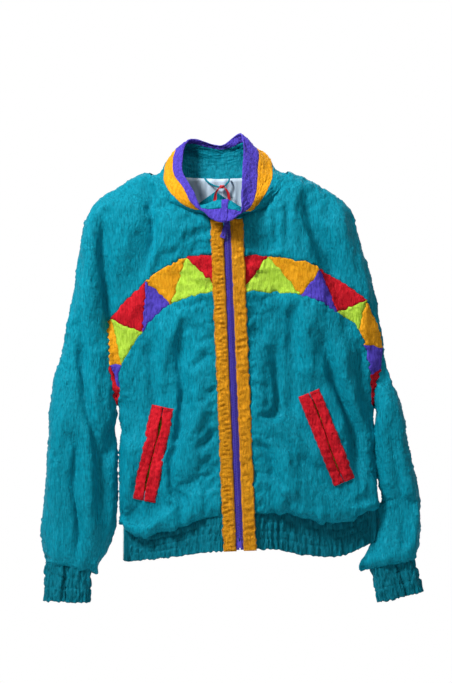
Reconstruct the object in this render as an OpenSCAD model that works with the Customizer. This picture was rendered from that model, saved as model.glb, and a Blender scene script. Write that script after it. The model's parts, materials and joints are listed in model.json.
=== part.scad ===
// Lined crinkle-nylon ski jacket, hung up by its shoulders.
// +X is the wearer's left, -Y the front, +Z up. Lengths are in millimetres.
// The origin is the middle of the neck, where a hanger holds it.

/* [Fabric] */
// Thickness of the outer shell fabric
shell_t = 1.4; // [1:0.1:1.8]
// Thickness of the lining fabric
lining_t = 0.8; // [0.6:0.1:1]
// Room between shell and lining, where the pocket bags hang
lining_gap = 4; // [4:0.5:6]
// Gap left between two panels at their seam
seam_gap = 0.7; // [0.5:0.1:1]

/* [Body] */
// How far the chest stands in front of the side seams
chest_depth = 58; // [54:1:62]
// How far the back stands behind the side seams
back_depth = 34; // [32:1:38]
// Depth of the gathered hem casing
hem_h = 60; // [54:1:64]

/* [Sleeves] */
// Height of the elbow crease
elbow_z = -490; // [-495:1:-480]
// Largest bend of the elbow, in degrees
elbow_max = 75; // [60:1:75]
// Height of a gathered cuff
cuff_h = 62; // [55:1:66]
// Width of a cuff laid flat
cuff_w = 88; // [84:1:90]
// Thickness of a cuff from front to back
cuff_d = 44; // [40:1:48]

/* [Zip] */
// Width of each orange placket strip
placket_w = 24.5; // [22:0.5:26]
// Width of each zip tape that shows
tape_w = 6.5; // [6:0.5:7]
// Distance between teeth on one tape
tooth_pitch = 4.8; // [4:0.2:6]
// Length of the zip from the top stop to the retaining box
zip_length = 603; // [590:1:603]
// Radius of the hole in the pull tab
tab_hole_r = 1.5; // [1.2:0.1:1.8]

/* [Pockets] */
// Length of a pocket welt
welt_length = 181; // [160:1:185]
// Width of one of the two lips of a pocket
lip_w = 21; // [18:0.5:22]
// Slit between the two lips
slit_w = 2; // [1.5:0.1:3]

/* [Hidden] */
SIDES = ["right", "left"];          // the wearer's sides: right is -X
BAND_COLOURS = ["red", "green", "orange", "purple"];

TEAL = "#0e8fa8";
ORANGE = "#e8a321";
PURPLE = "#4b3fae";
RED = "#c41a2a";
GREEN = "#a6dd4a";
SILVER = "#c9d3d8";
COLOUR = [RED, GREEN, ORANGE, PURPLE];
FRONT = -1;
BACK = 1;
edge_gap = 0.5;                     // from the side-seam plane to the front or back sheet
elbow_slope = tan((elbow_max + 20) / 2);
elbow_y = [42, 30];                 // the hinge line, just behind each sleeve: right (+X) sleeve then left
zip_top = [9, -97];                 // x and z of the zip's top end
zip_lean = 2.35;                    // degrees the closed zip leans from upright
zip_y = -chest_depth - 4;           // the plane of the zip tapes
zip_channel = 0.8;                  // half the groove between the teeth, where the slider's post runs
seam_steps = 20;                    // straight pieces along a seam, the same on both of its sides
point_share = 0.008;                // share of the band's length taken by a patch's blunt point

// ---- curves ----
// Index of the span of a falling table of [z, value] that holds z
function span(t, z, i = 0) = i >= len(t) - 2 || z >= t[i + 1][0] ? i : span(t, z, i + 1);
function slope(t, i) =
    let (a = max(i - 1, 0), b = min(i + 1, len(t) - 1)) (t[b][1] - t[a][1]) / (t[b][0] - t[a][0]);
// Smooth value of a table of [z, value] at z, held past its ends
function at(t, z) =
    let (i = span(t, z), h = t[i + 1][0] - t[i][0], u = min(max((z - t[i][0]) / h, 0), 1))
    t[i][1] * (2 * u^3 - 3 * u^2 + 1) + t[i + 1][1] * (3 * u^2 - 2 * u^3)
    + h * (slope(t, i) * (u^3 - 2 * u^2 + u) + slope(t, i + 1) * (u^3 - u^2));
// Catmull-Rom through four points
function blend4(a, b, c, d, u) =
    0.5 * (2 * b + (c - a) * u + (2 * a - 5 * b + 4 * c - d) * u^2 + (3 * b - a - 3 * c + d) * u^3);
// Point at s = 0..1 on an open smooth path through p
function along(p, s) =
    let (n = len(p) - 1, v = min(max(s, 0), 1) * n, i = min(floor(v), n - 1))
    blend4(p[max(i - 1, 0)], p[i], p[i + 1], p[min(i + 2, n)], v - i);
function mix(a, b, t) = a + (b - a) * t;
function unit(v) = v / norm(v);

// ---- outline of the hung jacket, as x at each height z ----
torso_right_x = [[12, -128], [-4, -169], [-34, -215], [-60, -238], [-110, -240], [-236, -226],
    [-350, -212], [-426, -200], [-560, -201], [-630, -200], [-665, -190], [-692, -178], [-740, -174]];
torso_left_x = [[12, 118], [-4, 158], [-34, 208], [-60, 230], [-110, 246], [-200, 277], [-290, 302],
    [-350, 306], [-435, 290], [-500, 296], [-578, 305], [-616, 305], [-650, 296], [-680, 286], [-740, 286]];
sleeve_out = [
    [[-30, -213], [-60, -252], [-110, -264], [-190, -278], [-281, -297], [-372, -314], [-464, -326],
     [-578, -337], [-646, -345], [-692, -343], [-740, -334]],
    [[-30, 205], [-60, 243], [-110, 258], [-190, 283], [-281, 304], [-350, 316], [-420, 342], [-464, 350],
     [-521, 359], [-616, 373], [-650, 376], [-692, 374], [-740, 368]]];
sleeve_in = [
    [[-30, -160], [-60, -165], [-110, -180], [-236, -190], [-350, -197], [-426, -203], [-560, -204.5],
     [-650, -204], [-682, -211], [-714, -224], [-740, -238]],
    [[-30, 150], [-60, 165], [-110, 190], [-190, 225], [-281, 262], [-350, 285], [-420, 292.5], [-464, 296],
     [-521, 302], [-578, 308.5], [-616, 309], [-650, 302], [-692, 291], [-740, 270]]];
// Depth in front of and behind the side-seam plane
torso_depth = [
    [[12, 26], [-4, 36], [-60, chest_depth - 6], [-90, chest_depth], [-660, chest_depth],
     [-700, chest_depth - 4], [-740, chest_depth - 6]],
    [[12, 20], [-60, back_depth - 4], [-150, back_depth], [-650, back_depth], [-690, back_depth - 4],
     [-740, back_depth - 4]]];
sleeve_depth = [
    [[[-30, 20], [-60, 34], [-200, 42], [-480, 44], [-650, 42], [-740, 30]],
     [[-30, 14], [-60, 20], [-200, 26], [-480, 28], [-650, 28], [-740, 22]]],
    [[[-30, 18], [-60, 28], [-200, 30], [-480, 34], [-650, 36], [-740, 28]],
     [[-30, 16], [-60, 24], [-200, 34], [-480, 40], [-650, 40], [-740, 30]]]];

// Height of a half-ellipse of unit depth across lo..hi
function arch(x, lo, hi) = let (s = (2 * x - lo - hi) / (hi - lo)) abs(s) < 1 ? sqrt(1 - s * s) : 0;
// Depth of the front (face -1) or back (face 1) sheet
function sheet_depth(x, z, face) =
    let (f = face == FRONT ? 0 : 1)
    edge_gap + max(
        at(torso_depth[f], z) * arch(x, at(torso_right_x, z), at(torso_left_x, z)),
        at(sleeve_depth[0][f], z) * arch(x, at(sleeve_out[0], z), at(sleeve_in[0], z)),
        at(sleeve_depth[1][f], z) * arch(x, at(sleeve_in[1], z), at(sleeve_out[1], z)));
// Point of the sheet at p = [x, z], moved out along the sheet's normal
function on_sheet(p, face, out = 0) =
    let (h = 2, x = p[0], z = p[1], d = sheet_depth(x, z, face),
         dx = (sheet_depth(x + h, z, face) - sheet_depth(x - h, z, face)) / (2 * h),
         dz = (sheet_depth(x, z + h, face) - sheet_depth(x, z - h, face)) / (2 * h))
    [x, face * d, z] + out * unit([-dx, face, -dz]);

// ---- solids from grids of points ----
// Closed solid between two grids of the same size, out in front and in behind
module slab(outer, inner) {
    r = len(outer);
    c = len(outer[0]);
    n = r * c;
    mi = floor(r / 2) - 1;
    mj = floor(c / 2) - 1;
    turn = cross(outer[mi + 1][mj] - outer[mi][mj], outer[mi][mj + 1] - outer[mi][mj])
        * (outer[mi][mj] - inner[mi][mj]) > 0;
    rim = concat([for (j = [0:c - 2]) [0, j]], [for (i = [0:r - 2]) [i, c - 1]],
        [for (j = [c - 1:-1:1]) [r - 1, j]], [for (i = [r - 1:-1:1]) [i, 0]]);
    function id(i, j, k) = k * n + i * c + j;
    function quad(a, b, d, e) = [[a, b, d], [a, d, e]];
    faces = concat(
        [for (i = [0:r - 2], j = [0:c - 2])
            each quad(id(i, j, 0), id(i, j + 1, 0), id(i + 1, j + 1, 0), id(i + 1, j, 0))],
        [for (i = [0:r - 2], j = [0:c - 2])
            each quad(id(i, j, 1), id(i + 1, j, 1), id(i + 1, j + 1, 1), id(i, j + 1, 1))],
        [for (k = [0:len(rim) - 1]) let (a = rim[k], b = rim[(k + 1) % len(rim)])
            each quad(id(a[0], a[1], 0), id(a[0], a[1], 1), id(b[0], b[1], 1), id(b[0], b[1], 0))]);
    polyhedron(
        [for (row = outer) each row, for (row = inner) each row],
        turn ? faces : [for (f = faces) [f[2], f[1], f[0]]]);
}

// Grid of [x, z] points ruled from path a to path b, each a list of rulings' ends
function ruled(a, b, cols) =
    [for (i = [0:len(a) - 1])
        let (g = seam_gap / 2 / max(norm(b[i] - a[i]), 2 * seam_gap))
        [for (j = [0:cols]) mix(a[i], b[i], mix(g, 1 - g, j / cols))]];
// Panel of fabric lying on the front or back sheet, between offsets out and in
module panel(grid, face, out, in) {
    slab([for (row = grid) [for (p = row) on_sheet(p, face, out)]],
         [for (row = grid) [for (p = row) on_sheet(p, face, in)]]);
}
// n + 1 values from a to b, kept a seam gap of length l clear of both ends
function steps(a, b, n, l) =
    let (g = seam_gap / 2 / l * abs(b - a)) [for (i = [0:n]) mix(a + g, b - g, i / n)];

// ---- seam lines, from the placket outwards; index 0 is the wearer's right (-X) ----
band_top = [
    [[-16, -152], [-66, -157], [-142, -198], [-207, -266], [-213, -350], [-203, -424]],
    [[43, -154], [86, -154], [186, -173], [270, -232], [304, -334], [296, -426]]];
band_bottom = [
    [[-11, -218], [-97, -243], [-152, -293], [-192, -350], [-196, -396], [-200, -427]],
    [[46, -220], [146, -224], [220, -253], [262, -300], [284, -372], [290, -432]]];
neck_front = [
    [[-18, -84], [-61, -74], [-108, -44], [-134, 2]],
    [[40, -82], [76, -62], [104, -36], [120, 4]]];
neck_back = [
    [[6, -18], [-60, -16], [-110, -8], [-134, 2]],
    [[6, -18], [60, -16], [100, -8], [120, 4]]];
shoulder = [
    [[-134, 2], [-172, -7], [-214, -34], [-236, -58]],
    [[120, 4], [160, -6], [206, -34], [229, -58]]];
back_seam = [
    [[14, -250], [-70, -256], [-150, -300], [-200, -428]],
    [[14, -250], [100, -256], [210, -300], [290, -434]]];
crotch_z = [-428, -434];            // the underarm of each side
hem_low = [[-174, -729], [-110, -722], [10, -707], [60, -704], [160, -716], [220, -716], [286, -696]];

function side_of(s) = s == "right" ? 0 : 1;
// x at height z of the edge of the torso, or of a sleeve's outer or inner edge
function torso_x(k, z) = at(k == 0 ? torso_right_x : torso_left_x, z);
// Lower edge of the hem at x, and the line where the body is gathered onto it
function hem_z(x) = -at([for (p = hem_low) [-p[0], -p[1]]], -x);
function hem_top_z(x) = hem_z(x) + hem_h;
// Height of the elbow cut on a sheet at x: the upper sleeve stops above it, the lower one below
function elbow_cut(k, x, face, up) =
    let (y = face * sheet_depth(x, elbow_z, face)) elbow_z + up * elbow_slope * (elbow_y[1 - k] - y);
// x of the placket's outer edge and of the zip at height z
function zip_x(z) = zip_top[0] + (zip_top[1] - z) * tan(zip_lean);
function placket_x(k, z) = zip_x(z) + (k == 0 ? -1 : 1) * (tape_w + placket_w);

// Outer edge of a yoke: neckline, shoulder, then down the sleeve to the elbow
function yoke_outer(k, neck, face, n) = concat(
    [for (s = steps(0, 1, n, 150)) along(neck[k], s)],
    [for (i = [1:n]) along(shoulder[k], i / n)],
    [for (i = [1:2 * n])
        let (z0 = shoulder[k][3][1], x1 = at(sleeve_out[k], elbow_z),
             z = mix(z0, elbow_cut(k, x1, face, 1), i / (2 * n)),
             x = at(sleeve_out[k], z))
        [i == 1 ? mix(shoulder[k][3][0], x, 0.7) : x, z]]);
// Inner edge of a yoke: the seam to the underarm, then down the sleeve to the elbow
function yoke_inner(k, seam, face, n) = concat(
    [for (s = steps(0, 1, seam_steps, 300)) along(seam[k], s)],
    [for (i = [1:n - 2])
        let (x1 = at(sleeve_in[k], elbow_z), z = mix(crotch_z[k], elbow_cut(k, x1, face, 1), i / (n - 2)))
        [at(sleeve_in[k], z), z]]);

// ---- fabric panels ----
module yoke(k, neck, seam, face) {
    panel(ruled(yoke_outer(k, neck, face, 6), yoke_inner(k, seam, face, 6), 8), face, 0, -shell_t);
}
module front_panel(k) {
    n = seam_steps;
    top = [for (s = steps(0, 1, n, 300)) along(band_bottom[k], s)];
    bottom = [for (i = [0:n])
        let (x = mix(placket_x(k, -660) + (k == 0 ? -1 : 1), torso_x(k, -680), i / n)) [x, hem_top_z(x)]];
    difference() {
        panel(ruled(top, bottom, 12), FRONT, 0, -shell_t);
        pocket_slot(k);
    }
}
// Grid of [x, z] points down the back, from a path of tops to a path of bottoms
module back_panel() {
    n = 22;
    top = concat([for (s = steps(1, 0, n / 2, 250)) along(back_seam[0], s)],
        [for (i = [1:n / 2]) along(back_seam[1], i / (n / 2) * 0.998)]);
    bottom = [for (i = [0:n])
        let (x = mix(torso_x(0, -670) + 1, torso_x(1, -670) - 1, i / n)) [x, hem_top_z(x)]];
    panel(ruled(top, bottom, 10), BACK, 0, -shell_t);
}
// The patches of the chest band: k side, c colour. They hang from the top seam and stand on the
// lower one in turn; the last tapers down to the underarm.
module band_patches(k, c) {
    last = len(band_top[0]) - 1;
    for (i = [0:last - 1], odd = [0, 1])
        if (2 * (i % 2) + odd == c && i + odd < last) {
            a = i / last;
            b = (i + 1) / last;
            n = seam_steps / last;
            tapers = i == last - 1;
            w = norm(along(band_top[k], b) - along(band_top[k], a)) / (tapers ? 4 : 1);
            low_end = a + point_share;
            top_end = tapers ? b : b - point_share;
            point_w = w * point_share * last;
            top = [for (s = odd ? steps(top_end, b, n, point_w) : steps(a, top_end, n, w))
                along(band_top[k], s)];
            low_steps = tapers ? steps(a, b, n, w)
                : odd ? steps(low_end, b, n, w) : steps(a, low_end, n, point_w);
            low = [for (s = low_steps) along(band_bottom[k], s)];
            panel(ruled(top, low, 5), FRONT, 0, -shell_t);
        }
}
module lining_front(k) {
    out = -shell_t - lining_gap;
    n = 18;
    rows = 20;
    top = [for (s = steps(0, 1, n, 150)) let (p = along(neck_front[k], s)) [p[0], p[1] - 8]];
    bottom = [for (i = [0:n])
        let (x = mix(placket_x(k, -640), torso_x(k, -640) * 0.93, i / n)) [x, hem_top_z(x) + 12]];
    middle = [for (i = [0:n])
        let (x = mix(placket_x(k, -300), torso_x(k, -400) * 0.93, i / n)) [x, -300 - 120 * i / n]];
    grid = [for (i = [0:n]) [for (j = [0:rows])
        let (t = j / rows)
        t < 0.4 ? mix(top[i], middle[i], t / 0.4) : mix(middle[i], bottom[i], (t - 0.4) / 0.6)]];
    panel(grid, FRONT, out, out - lining_t);
}
module lining_back() {
    out = -shell_t - lining_gap;
    n = 20;
    rows = 24;
    grid = [for (i = [0:n]) [for (j = [0:rows])
        let (u = i / n, t = j / rows,
             top = [mix(-118, 106, u), -26],
             low = [mix(torso_x(0, -400), torso_x(1, -400), u) * 0.92, -400],
             end_x = mix(torso_x(0, -640), torso_x(1, -640), u) * 0.92)
        t < 0.5 ? mix(top, low, t * 2) : mix(low, [end_x, hem_top_z(end_x) + 12], t * 2 - 1)]];
    panel(grid, BACK, out, out - lining_t);
}

// Half-moon sewn over the lining below the back of the neck
module neck_facing() {
    out = -shell_t - lining_gap - lining_t - 2;
    n = 10;
    grid = [for (i = [0:n]) [for (j = [0:4])
        [mix(-60, 44, i / n), -30 - j / 4 * (4 + 24 * sin(180 * i / n))]]];
    panel(grid, BACK, out, out - 0.8);
}

// ---- lower sleeves and cuffs ----
cuff_at = [[-292, -744], [324, -738]];   // centre of each cuff's top edge
cuff_tilt = [2, -14];                    // how each cuff leans, in degrees
module lower_sleeve(k, face) {
    rows = [for (i = [0:8]) let (t = mix(0.004, 0.996, i / 8)) [for (j = [0:12])
        let (x0 = mix(at(sleeve_out[k], elbow_z), at(sleeve_in[k], elbow_z), t),
             x1 = mix(at(sleeve_out[k], cuff_at[k][1]), at(sleeve_in[k], cuff_at[k][1]), t),
             end = cuff_at[k][1] - (x1 - cuff_at[k][0]) * sin(cuff_tilt[k]) + 3,
             z = mix(elbow_cut(k, x0, face, -1), end, j / 12),
             x = mix(at(sleeve_out[k], z), at(sleeve_in[k], z), t)) [x, z]]];
    panel(rows, face, 0, -shell_t);
}
module stadium(w, d) {
    square([w - d, d], center = true);
    for (s = [-1, 1]) translate([s * (w - d) / 2, 0]) circle(d = d, $fn = 64);
}
module cuff_ring(out, in, h) {
    linear_extrude(h) difference() {
        stadium(cuff_w - 2 * out, cuff_d - 2 * out);
        stadium(cuff_w - 2 * in, cuff_d - 2 * in);
    }
}
module place_cuff(k) {
    translate([cuff_at[k][0], k == 0 ? -4 : 4, cuff_at[k][1]]) rotate([0, cuff_tilt[k], 0])
        translate([0, 0, -cuff_h - 1]) children();
}
// Fabric folded up around the elastic: two walls joined along the lower edge
module cuff(k) {
    place_cuff(k) difference() {
        cuff_ring(0, 4.2, cuff_h);
        translate([0, 0, shell_t]) cuff_ring(1.2, 3, cuff_h);
    }
}
module cuff_elastic(k) { place_cuff(k) translate([0, 0, shell_t + 2]) cuff_ring(1.4, 2.8, cuff_h - 8); }

// ---- hem ----
// Strip of the hem around the torso between angles a and b; 180 is the right side, 270 the front
module hem_strip(a, b, n, out, in, trim) {
    function ring(g, t, off) =
        let (lo = torso_x(0, -720), hi = torso_x(1, -720), f = sin(g) < 0 ? 0 : 1,
             d = at(torso_depth[f], -720) + off, x = (lo + hi) / 2 + ((hi - lo) / 2 + off) * cos(g),
             base = hem_z((lo + hi) / 2 + (hi - lo) / 2 * cos(g)))
        [x, d * sin(g), base + mix(trim, hem_h - trim - 1, t)];
    slab([for (i = [0:n]) [for (t = [0, 0.5, 1]) ring(mix(a, b, i / n), t, out)]],
         [for (i = [0:n]) [for (t = [0, 0.5, 1]) ring(mix(a, b, i / n), t, in)]]);
}
// Ring angle at which the hem meets the placket
function hem_angle(k) =
    let (lo = torso_x(0, -720), hi = torso_x(1, -720), x = placket_x(k, -690) + (k == 0 ? -1 : 1))
    360 - acos((2 * x - lo - hi) / (hi - lo));

// ---- placket and zip ----
// Frame of the zip: origin at its top end, z' down its length, y' into the jacket
module zip_frame() { translate([zip_top[0], zip_y, zip_top[1]]) rotate([0, 180 - zip_lean, 0]) children(); }
module placket(k) {
    s = k == 0 ? 1 : -1;
    zip_frame() translate([s > 0 ? tape_w : -tape_w - placket_w, -0.2, -4])
        cube([placket_w, 2.2, zip_length + 14]);
}
module zip_tape(k) {
    w = tape_w + 6 - zip_channel;
    zip_frame() translate([k == 0 ? zip_channel : -zip_channel - w, 2.2, 0]) cube([w, 0.8, zip_length + 6]);
}
module zip_teeth(k) {
    count = floor((zip_length - 22) / tooth_pitch);
    zip_frame() for (i = [0:count - 1])
        translate([k == 0 ? zip_channel : -zip_channel - 3.4, 0.3, 8 + (i + 0.5 * k) * tooth_pitch])
            cube([3.4, 1.7, tooth_pitch * 0.42]);
}
// Slider body: two plates joined by a post between the tapes, with the bridge that holds the tab
pivot = [0, -4.4, -0.4];            // middle of the tab's eye
module zip_slider() {
    zip_frame() {
        difference() {
            translate([-5.6, -2.2, -9]) cube([11.2, 7.6, 16]);
            translate([-10, -0.4, -10]) cube([20, 4, 18]);
        }
        translate([-0.45, -0.6, -9]) cube([0.9, 4.4, 6]);
        difference() {
            translate([-1.5, -7.1, -5.6]) cube([3, 5.1, 8]);
            translate(pivot) rotate([0, 90, 0]) cylinder(r = 1.9, h = 20, center = true, $fn = 32);
        }
    }
}
// Pull tab: an eye through the bridge, then a plate with a hole at its free end
tab_length = 25;
tab_swing = 22;
module zip_pull_tab() {
    zip_frame() translate(pivot) rotate([0, tab_swing, 0]) {
        rotate([0, 90, 0]) cylinder(r = 0.9, h = 8.4, center = true, $fn = 32);
        for (s = [-1, 1]) translate([s * 3.4 - 0.8, -0.9, 0]) cube([1.6, 1.6, 7]);
        difference() {
            translate([-4.7, -0.9, 6]) cube([9.4, 1.6, tab_length - 6]);
            translate([0, 0, tab_length - 5]) rotate([90, 0, 0])
                cylinder(r = tab_hole_r, h = 9, center = true, $fn = 48);
        }
    }
}
module zip_top_stops() {
    zip_frame() for (s = [-1, 1]) translate([s * 2.6 - 1.3, 0.2, -12]) cube([2.6, 2, 2.4]);
}
// Box on the wearer's right that the pin on the left drops into
module zip_retaining_box() {
    zip_frame() difference() {
        translate([-3.4, -0.6, zip_length - 10]) cube([8, 2.6, 12]);
        translate([-4, -0.1, zip_length - 11]) cube([3.4, 1.8, 11]);
    }
}
module zip_insertion_pin() {
    zip_frame() translate([-2.6, 0.2, zip_length - 13]) cube([1.6, 1.2, 13]);
}

// ---- pockets ----
pocket_at = [[-129, -526], [197, -495]];
pocket_lean = [11.4, -22];          // degrees the top of each pocket leans towards the zip
function pocket_point(k, u, v) =
    let (a = pocket_lean[k])
    pocket_at[k] + [u * cos(a) + v * sin(a), v * cos(a) - u * sin(a)];
// Patch of the pocket between u0..u1 across and v0..v1 up its length, between offsets out and in
module pocket_patch(k, u0, u1, v0, v1, out, in, m, n) {
    panel([for (i = [0:m]) [for (j = [0:n]) pocket_point(k, mix(u0, u1, i / m), mix(v0, v1, j / n))]],
        FRONT, out, in);
}
module pocket_slot(k) {
    p = pocket_point(k, 0, 0);
    translate([p[0], -chest_depth, p[1]]) rotate([0, pocket_lean[k], 0])
        cube([slit_w, 120, welt_length - 34], center = true);
}
module pocket_welts(k) {
    h = welt_length / 2;
    for (s = [-1, 1])
        pocket_patch(k, s * slit_w / 2, s * (slit_w / 2 + lip_w), -h, h, 1.8, 0.3, 3, 10);
}
module pocket_bag(k) {
    for (leaf = [0, 1])
        pocket_patch(k, -55, 55, 4 - welt_length / 2, welt_length / 2 - 8,
            -shell_t - 0.5 - 1.3 * leaf, -shell_t - 1.2 - 1.3 * leaf, 8, 10);
}

// ---- collar: rings of points from the neck seam up to the free edge ----
// Each ring runs from the front opening round by the right side, the back and the left side, to the front
collar_rings = [
    [[10, -57, -82], [-61, -51, -73], [-108, -38, -43], [-134, -3, 4], [-90, 17, -10], [6, 25, -16],
     [78, 17, -9], [121, -3, 5], [104, -36, -35], [72, -49, -64], [10, -57, -82]],
    [[10, -66, -72], [-50, -62, -66], [-92, -48, -40], [-110, -18, 4], [-78, 24, 22], [4, 34, 14],
     [74, 26, 20], [98, -16, 8], [88, -44, -34], [58, -62, -62], [10, -66, -72]],
    [[9, -76, -60], [-38, -78, -60], [-76, -64, -26], [-88, -32, 16], [-62, 22, 50], [2, 34, 46],
     [60, 24, 58], [72, -32, 14], [68, -60, -34], [44, -78, -60], [9, -76, -60]],
    [[7, -96, -92], [-24, -92, -82], [-54, -72, -34], [-74, -36, 14], [-52, 14, 62], [-4, 26, 74],
     [38, 12, 76], [38, -46, 14], [38, -74, -34], [34, -90, -74], [7, -96, -92]]];
collar_open = 0.016;                // share of the ring taken by the zip facing on each side
function collar_mid(u, v) =
    let (n = len(collar_rings) - 1, w = min(max(v, 0), 1) * n, i = min(floor(w), n - 1))
    blend4(along(collar_rings[max(i - 1, 0)], u), along(collar_rings[i], u), along(collar_rings[i + 1], u),
        along(collar_rings[min(i + 2, n)], u), w - i);
function collar_normal(u, v) = let (h = 0.01)
    unit(cross(collar_mid(u + h, v) - collar_mid(u - h, v), collar_mid(u, v + h) - collar_mid(u, v - h)));
function collar_point(u, v, off) = collar_mid(u, v) - off * collar_normal(u, v);
module collar_strip(u0, u1, v0, v1, m, n, out, in) {
    slab([for (i = [0:m]) [for (j = [0:n]) collar_point(mix(u0, u1, i / m), mix(v0, v1, j / n), out)]],
         [for (i = [0:m]) [for (j = [0:n]) collar_point(mix(u0, u1, i / m), mix(v0, v1, j / n), in)]]);
}
module collar_layer(v0, v1, n, out, in) {
    g = 0.003;
    collar_strip(collar_open + g, 1 - collar_open - g, v0 + g, v1 - g, 30, n, out, in);
}

// ---- hang loop and ribbon ----
loop_path = [[-33, 13, -3], [-29, 9, -9], [-21, 8, -15], [-12, 7.5, -19], [-2, 7.5, -20.5],
    [5, 7.5, -18], [10, 8, -13], [13, 9, -9], [14, 13, -4]];
knot = [0, 6, -20];
// Round tube of radius r along points p
module tube(p, r, sides) {
    n = len(p);
    function dir(i) = unit(p[min(i + 1, n - 1)] - p[max(i - 1, 0)]);
    function ring(i) = let (d = dir(i), a = unit(cross(d, [0, 1, 0.01])), b = cross(d, a))
        [for (j = [0:sides - 1]) p[i] + r * (cos(360 * j / sides) * a + sin(360 * j / sides) * b)];
    polyhedron([for (i = [0:n - 1]) each ring(i)], concat(
        [[for (j = [0:sides - 1]) j]],
        [for (i = [0:n - 2], j = [0:sides - 1]) each
            let (a = i * sides + j, b = i * sides + (j + 1) % sides)
            [[b, a, a + sides], [b, a + sides, b + sides]]],
        [[for (j = [sides - 1:-1:0]) (n - 1) * sides + j]]));
}
module hang_loop() { tube([for (i = [0:16]) along(loop_path, i / 16)], 1.7, 8); }
// Two flat tails hanging from a knot
module hang_ribbon() {
    translate(knot + [0, -3.4, -1]) sphere(r = 3.6, $fn = 24);
    for (s = [-1, 1]) {
        tail = [[s * 1.5, -5, -3], [s * 7, -7, -7], [s * 12, -6, -14], [s * 14.5, -5, -23]];
        side = [for (y = [-0.4, 0.4]) [for (i = [0:6]) [for (w = [-1, 1])
            knot + along(tail, i / 6) + [w * (1.6 + 0.35 * i), y, 0]]]];
        slab(side[0], side[1]);
    }
}

// ---- the nodes ----
for (s = SIDES) {
    k = side_of(s);
    color(TEAL) yoke(k, neck_front, band_top, FRONT);
    color(TEAL) yoke(k, neck_back, back_seam, BACK);
    color(TEAL) front_panel(k);
    for (c = [0:3])
        color(COLOUR[c]) band_patches(k, c);
    color(ORANGE) placket(k);
    color(PURPLE) zip_tape(k);
    color(PURPLE) zip_teeth(k);
    color(SILVER) lining_front(k);
    color(RED) pocket_welts(k);
    color(GREEN) pocket_bag(k);
    color(TEAL) lower_sleeve(k, FRONT);
    color(TEAL) lower_sleeve(k, BACK);
    color(TEAL) cuff(k);
    color("white") cuff_elastic(k);
}
color(TEAL) back_panel();
color(SILVER) lining_back();
color(TEAL) hem_strip(180.4, hem_angle(0), 8, 0, -shell_t, 0);  // hem_front_right
color(TEAL) hem_strip(hem_angle(1), 359.6, 10, 0, -shell_t, 0);  // hem_front_left
color(TEAL) hem_strip(0.4, 179.6, 18, 0, -shell_t, 0);  // hem_back
color("white")  // hem_elastic
    hem_strip(hem_angle(1), 360 + hem_angle(0), 36, -shell_t - 0.5, -shell_t - 2, 3);
color(TEAL) collar_layer(0.01, 0.36, 4, 0.7, -0.5);  // collar_stand
color(ORANGE) collar_layer(0.36, 0.68, 4, 0.7, -0.5);  // collar_orange_stripe
color(PURPLE) {  // collar_purple_binding
    collar_layer(0.68, 1, 4, 0.7, -0.5);
    collar_layer(0.8, 1, 3, -1.2, -2.1);
}
color(TEAL) collar_layer(0.02, 0.8, 8, -1.3, -2.3);  // collar_lining
color(PURPLE)  // collar_zip_facing
    for (s = [0, 1])
        collar_strip(s ? 1 - collar_open : 0.001, s ? 0.999 : collar_open, 0.02, 0.995, 2, 12, 0.5, -1.9);
color(PURPLE) zip_slider();
color(PURPLE) zip_pull_tab();
color(PURPLE) zip_top_stops();
color(PURPLE) zip_retaining_box();
color(PURPLE) zip_insertion_pin();
color(TEAL) neck_facing();
color(TEAL) hang_loop();
color(RED) hang_ribbon();
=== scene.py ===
import json
import math

import bpy
import numpy as np
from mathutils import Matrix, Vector, geometry, kdtree
from mathutils.bvhtree import BVHTree


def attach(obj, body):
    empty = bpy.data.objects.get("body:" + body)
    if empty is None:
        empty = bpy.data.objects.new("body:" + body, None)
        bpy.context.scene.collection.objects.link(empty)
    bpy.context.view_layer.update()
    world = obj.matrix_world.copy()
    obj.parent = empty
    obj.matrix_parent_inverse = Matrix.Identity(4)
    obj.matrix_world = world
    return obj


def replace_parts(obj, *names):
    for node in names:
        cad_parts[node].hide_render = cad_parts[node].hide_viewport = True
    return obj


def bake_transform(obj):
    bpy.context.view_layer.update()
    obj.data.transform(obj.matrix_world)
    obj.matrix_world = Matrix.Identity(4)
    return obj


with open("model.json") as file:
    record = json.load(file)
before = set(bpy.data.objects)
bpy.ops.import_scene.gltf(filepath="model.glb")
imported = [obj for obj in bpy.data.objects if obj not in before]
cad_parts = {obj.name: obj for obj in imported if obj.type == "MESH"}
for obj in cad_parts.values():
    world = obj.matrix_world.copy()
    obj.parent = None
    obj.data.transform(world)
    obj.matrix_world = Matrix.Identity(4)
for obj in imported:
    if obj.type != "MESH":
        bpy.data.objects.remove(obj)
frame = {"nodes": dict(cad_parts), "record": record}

# Outlines and seams below are in millimetres in the frame of the part: +X to the wearer's left, -Y out of the
# front, +Z up. make() turns them into metres. Side 0 is the wearer's right (-X) and side 1 the left.
MM = 0.001
SIDES = ("right", "left")
FRONT, BACK = 0, 1
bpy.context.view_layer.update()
joints = {j["name"]: j for j in frame["record"]["behaviour"]["joints"]}

# ---- camera
FRAME_HEIGHT = 1.298                     # metres of the jacket's plane that the picture's height shows
LENS, SENSOR = 127.5, 36.0
camera_data = bpy.data.cameras.new("camera")
camera_data.lens = LENS
camera_data.sensor_fit = "VERTICAL"
camera_data.sensor_height = SENSOR
camera = bpy.data.objects.new("camera", camera_data)
camera.location = (0.0076, -FRAME_HEIGHT * LENS / SENSOR, -0.3145)
camera.rotation_euler = (math.radians(90), 0, 0)
bpy.context.collection.objects.link(camera)
bpy.context.scene.camera = camera


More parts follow.
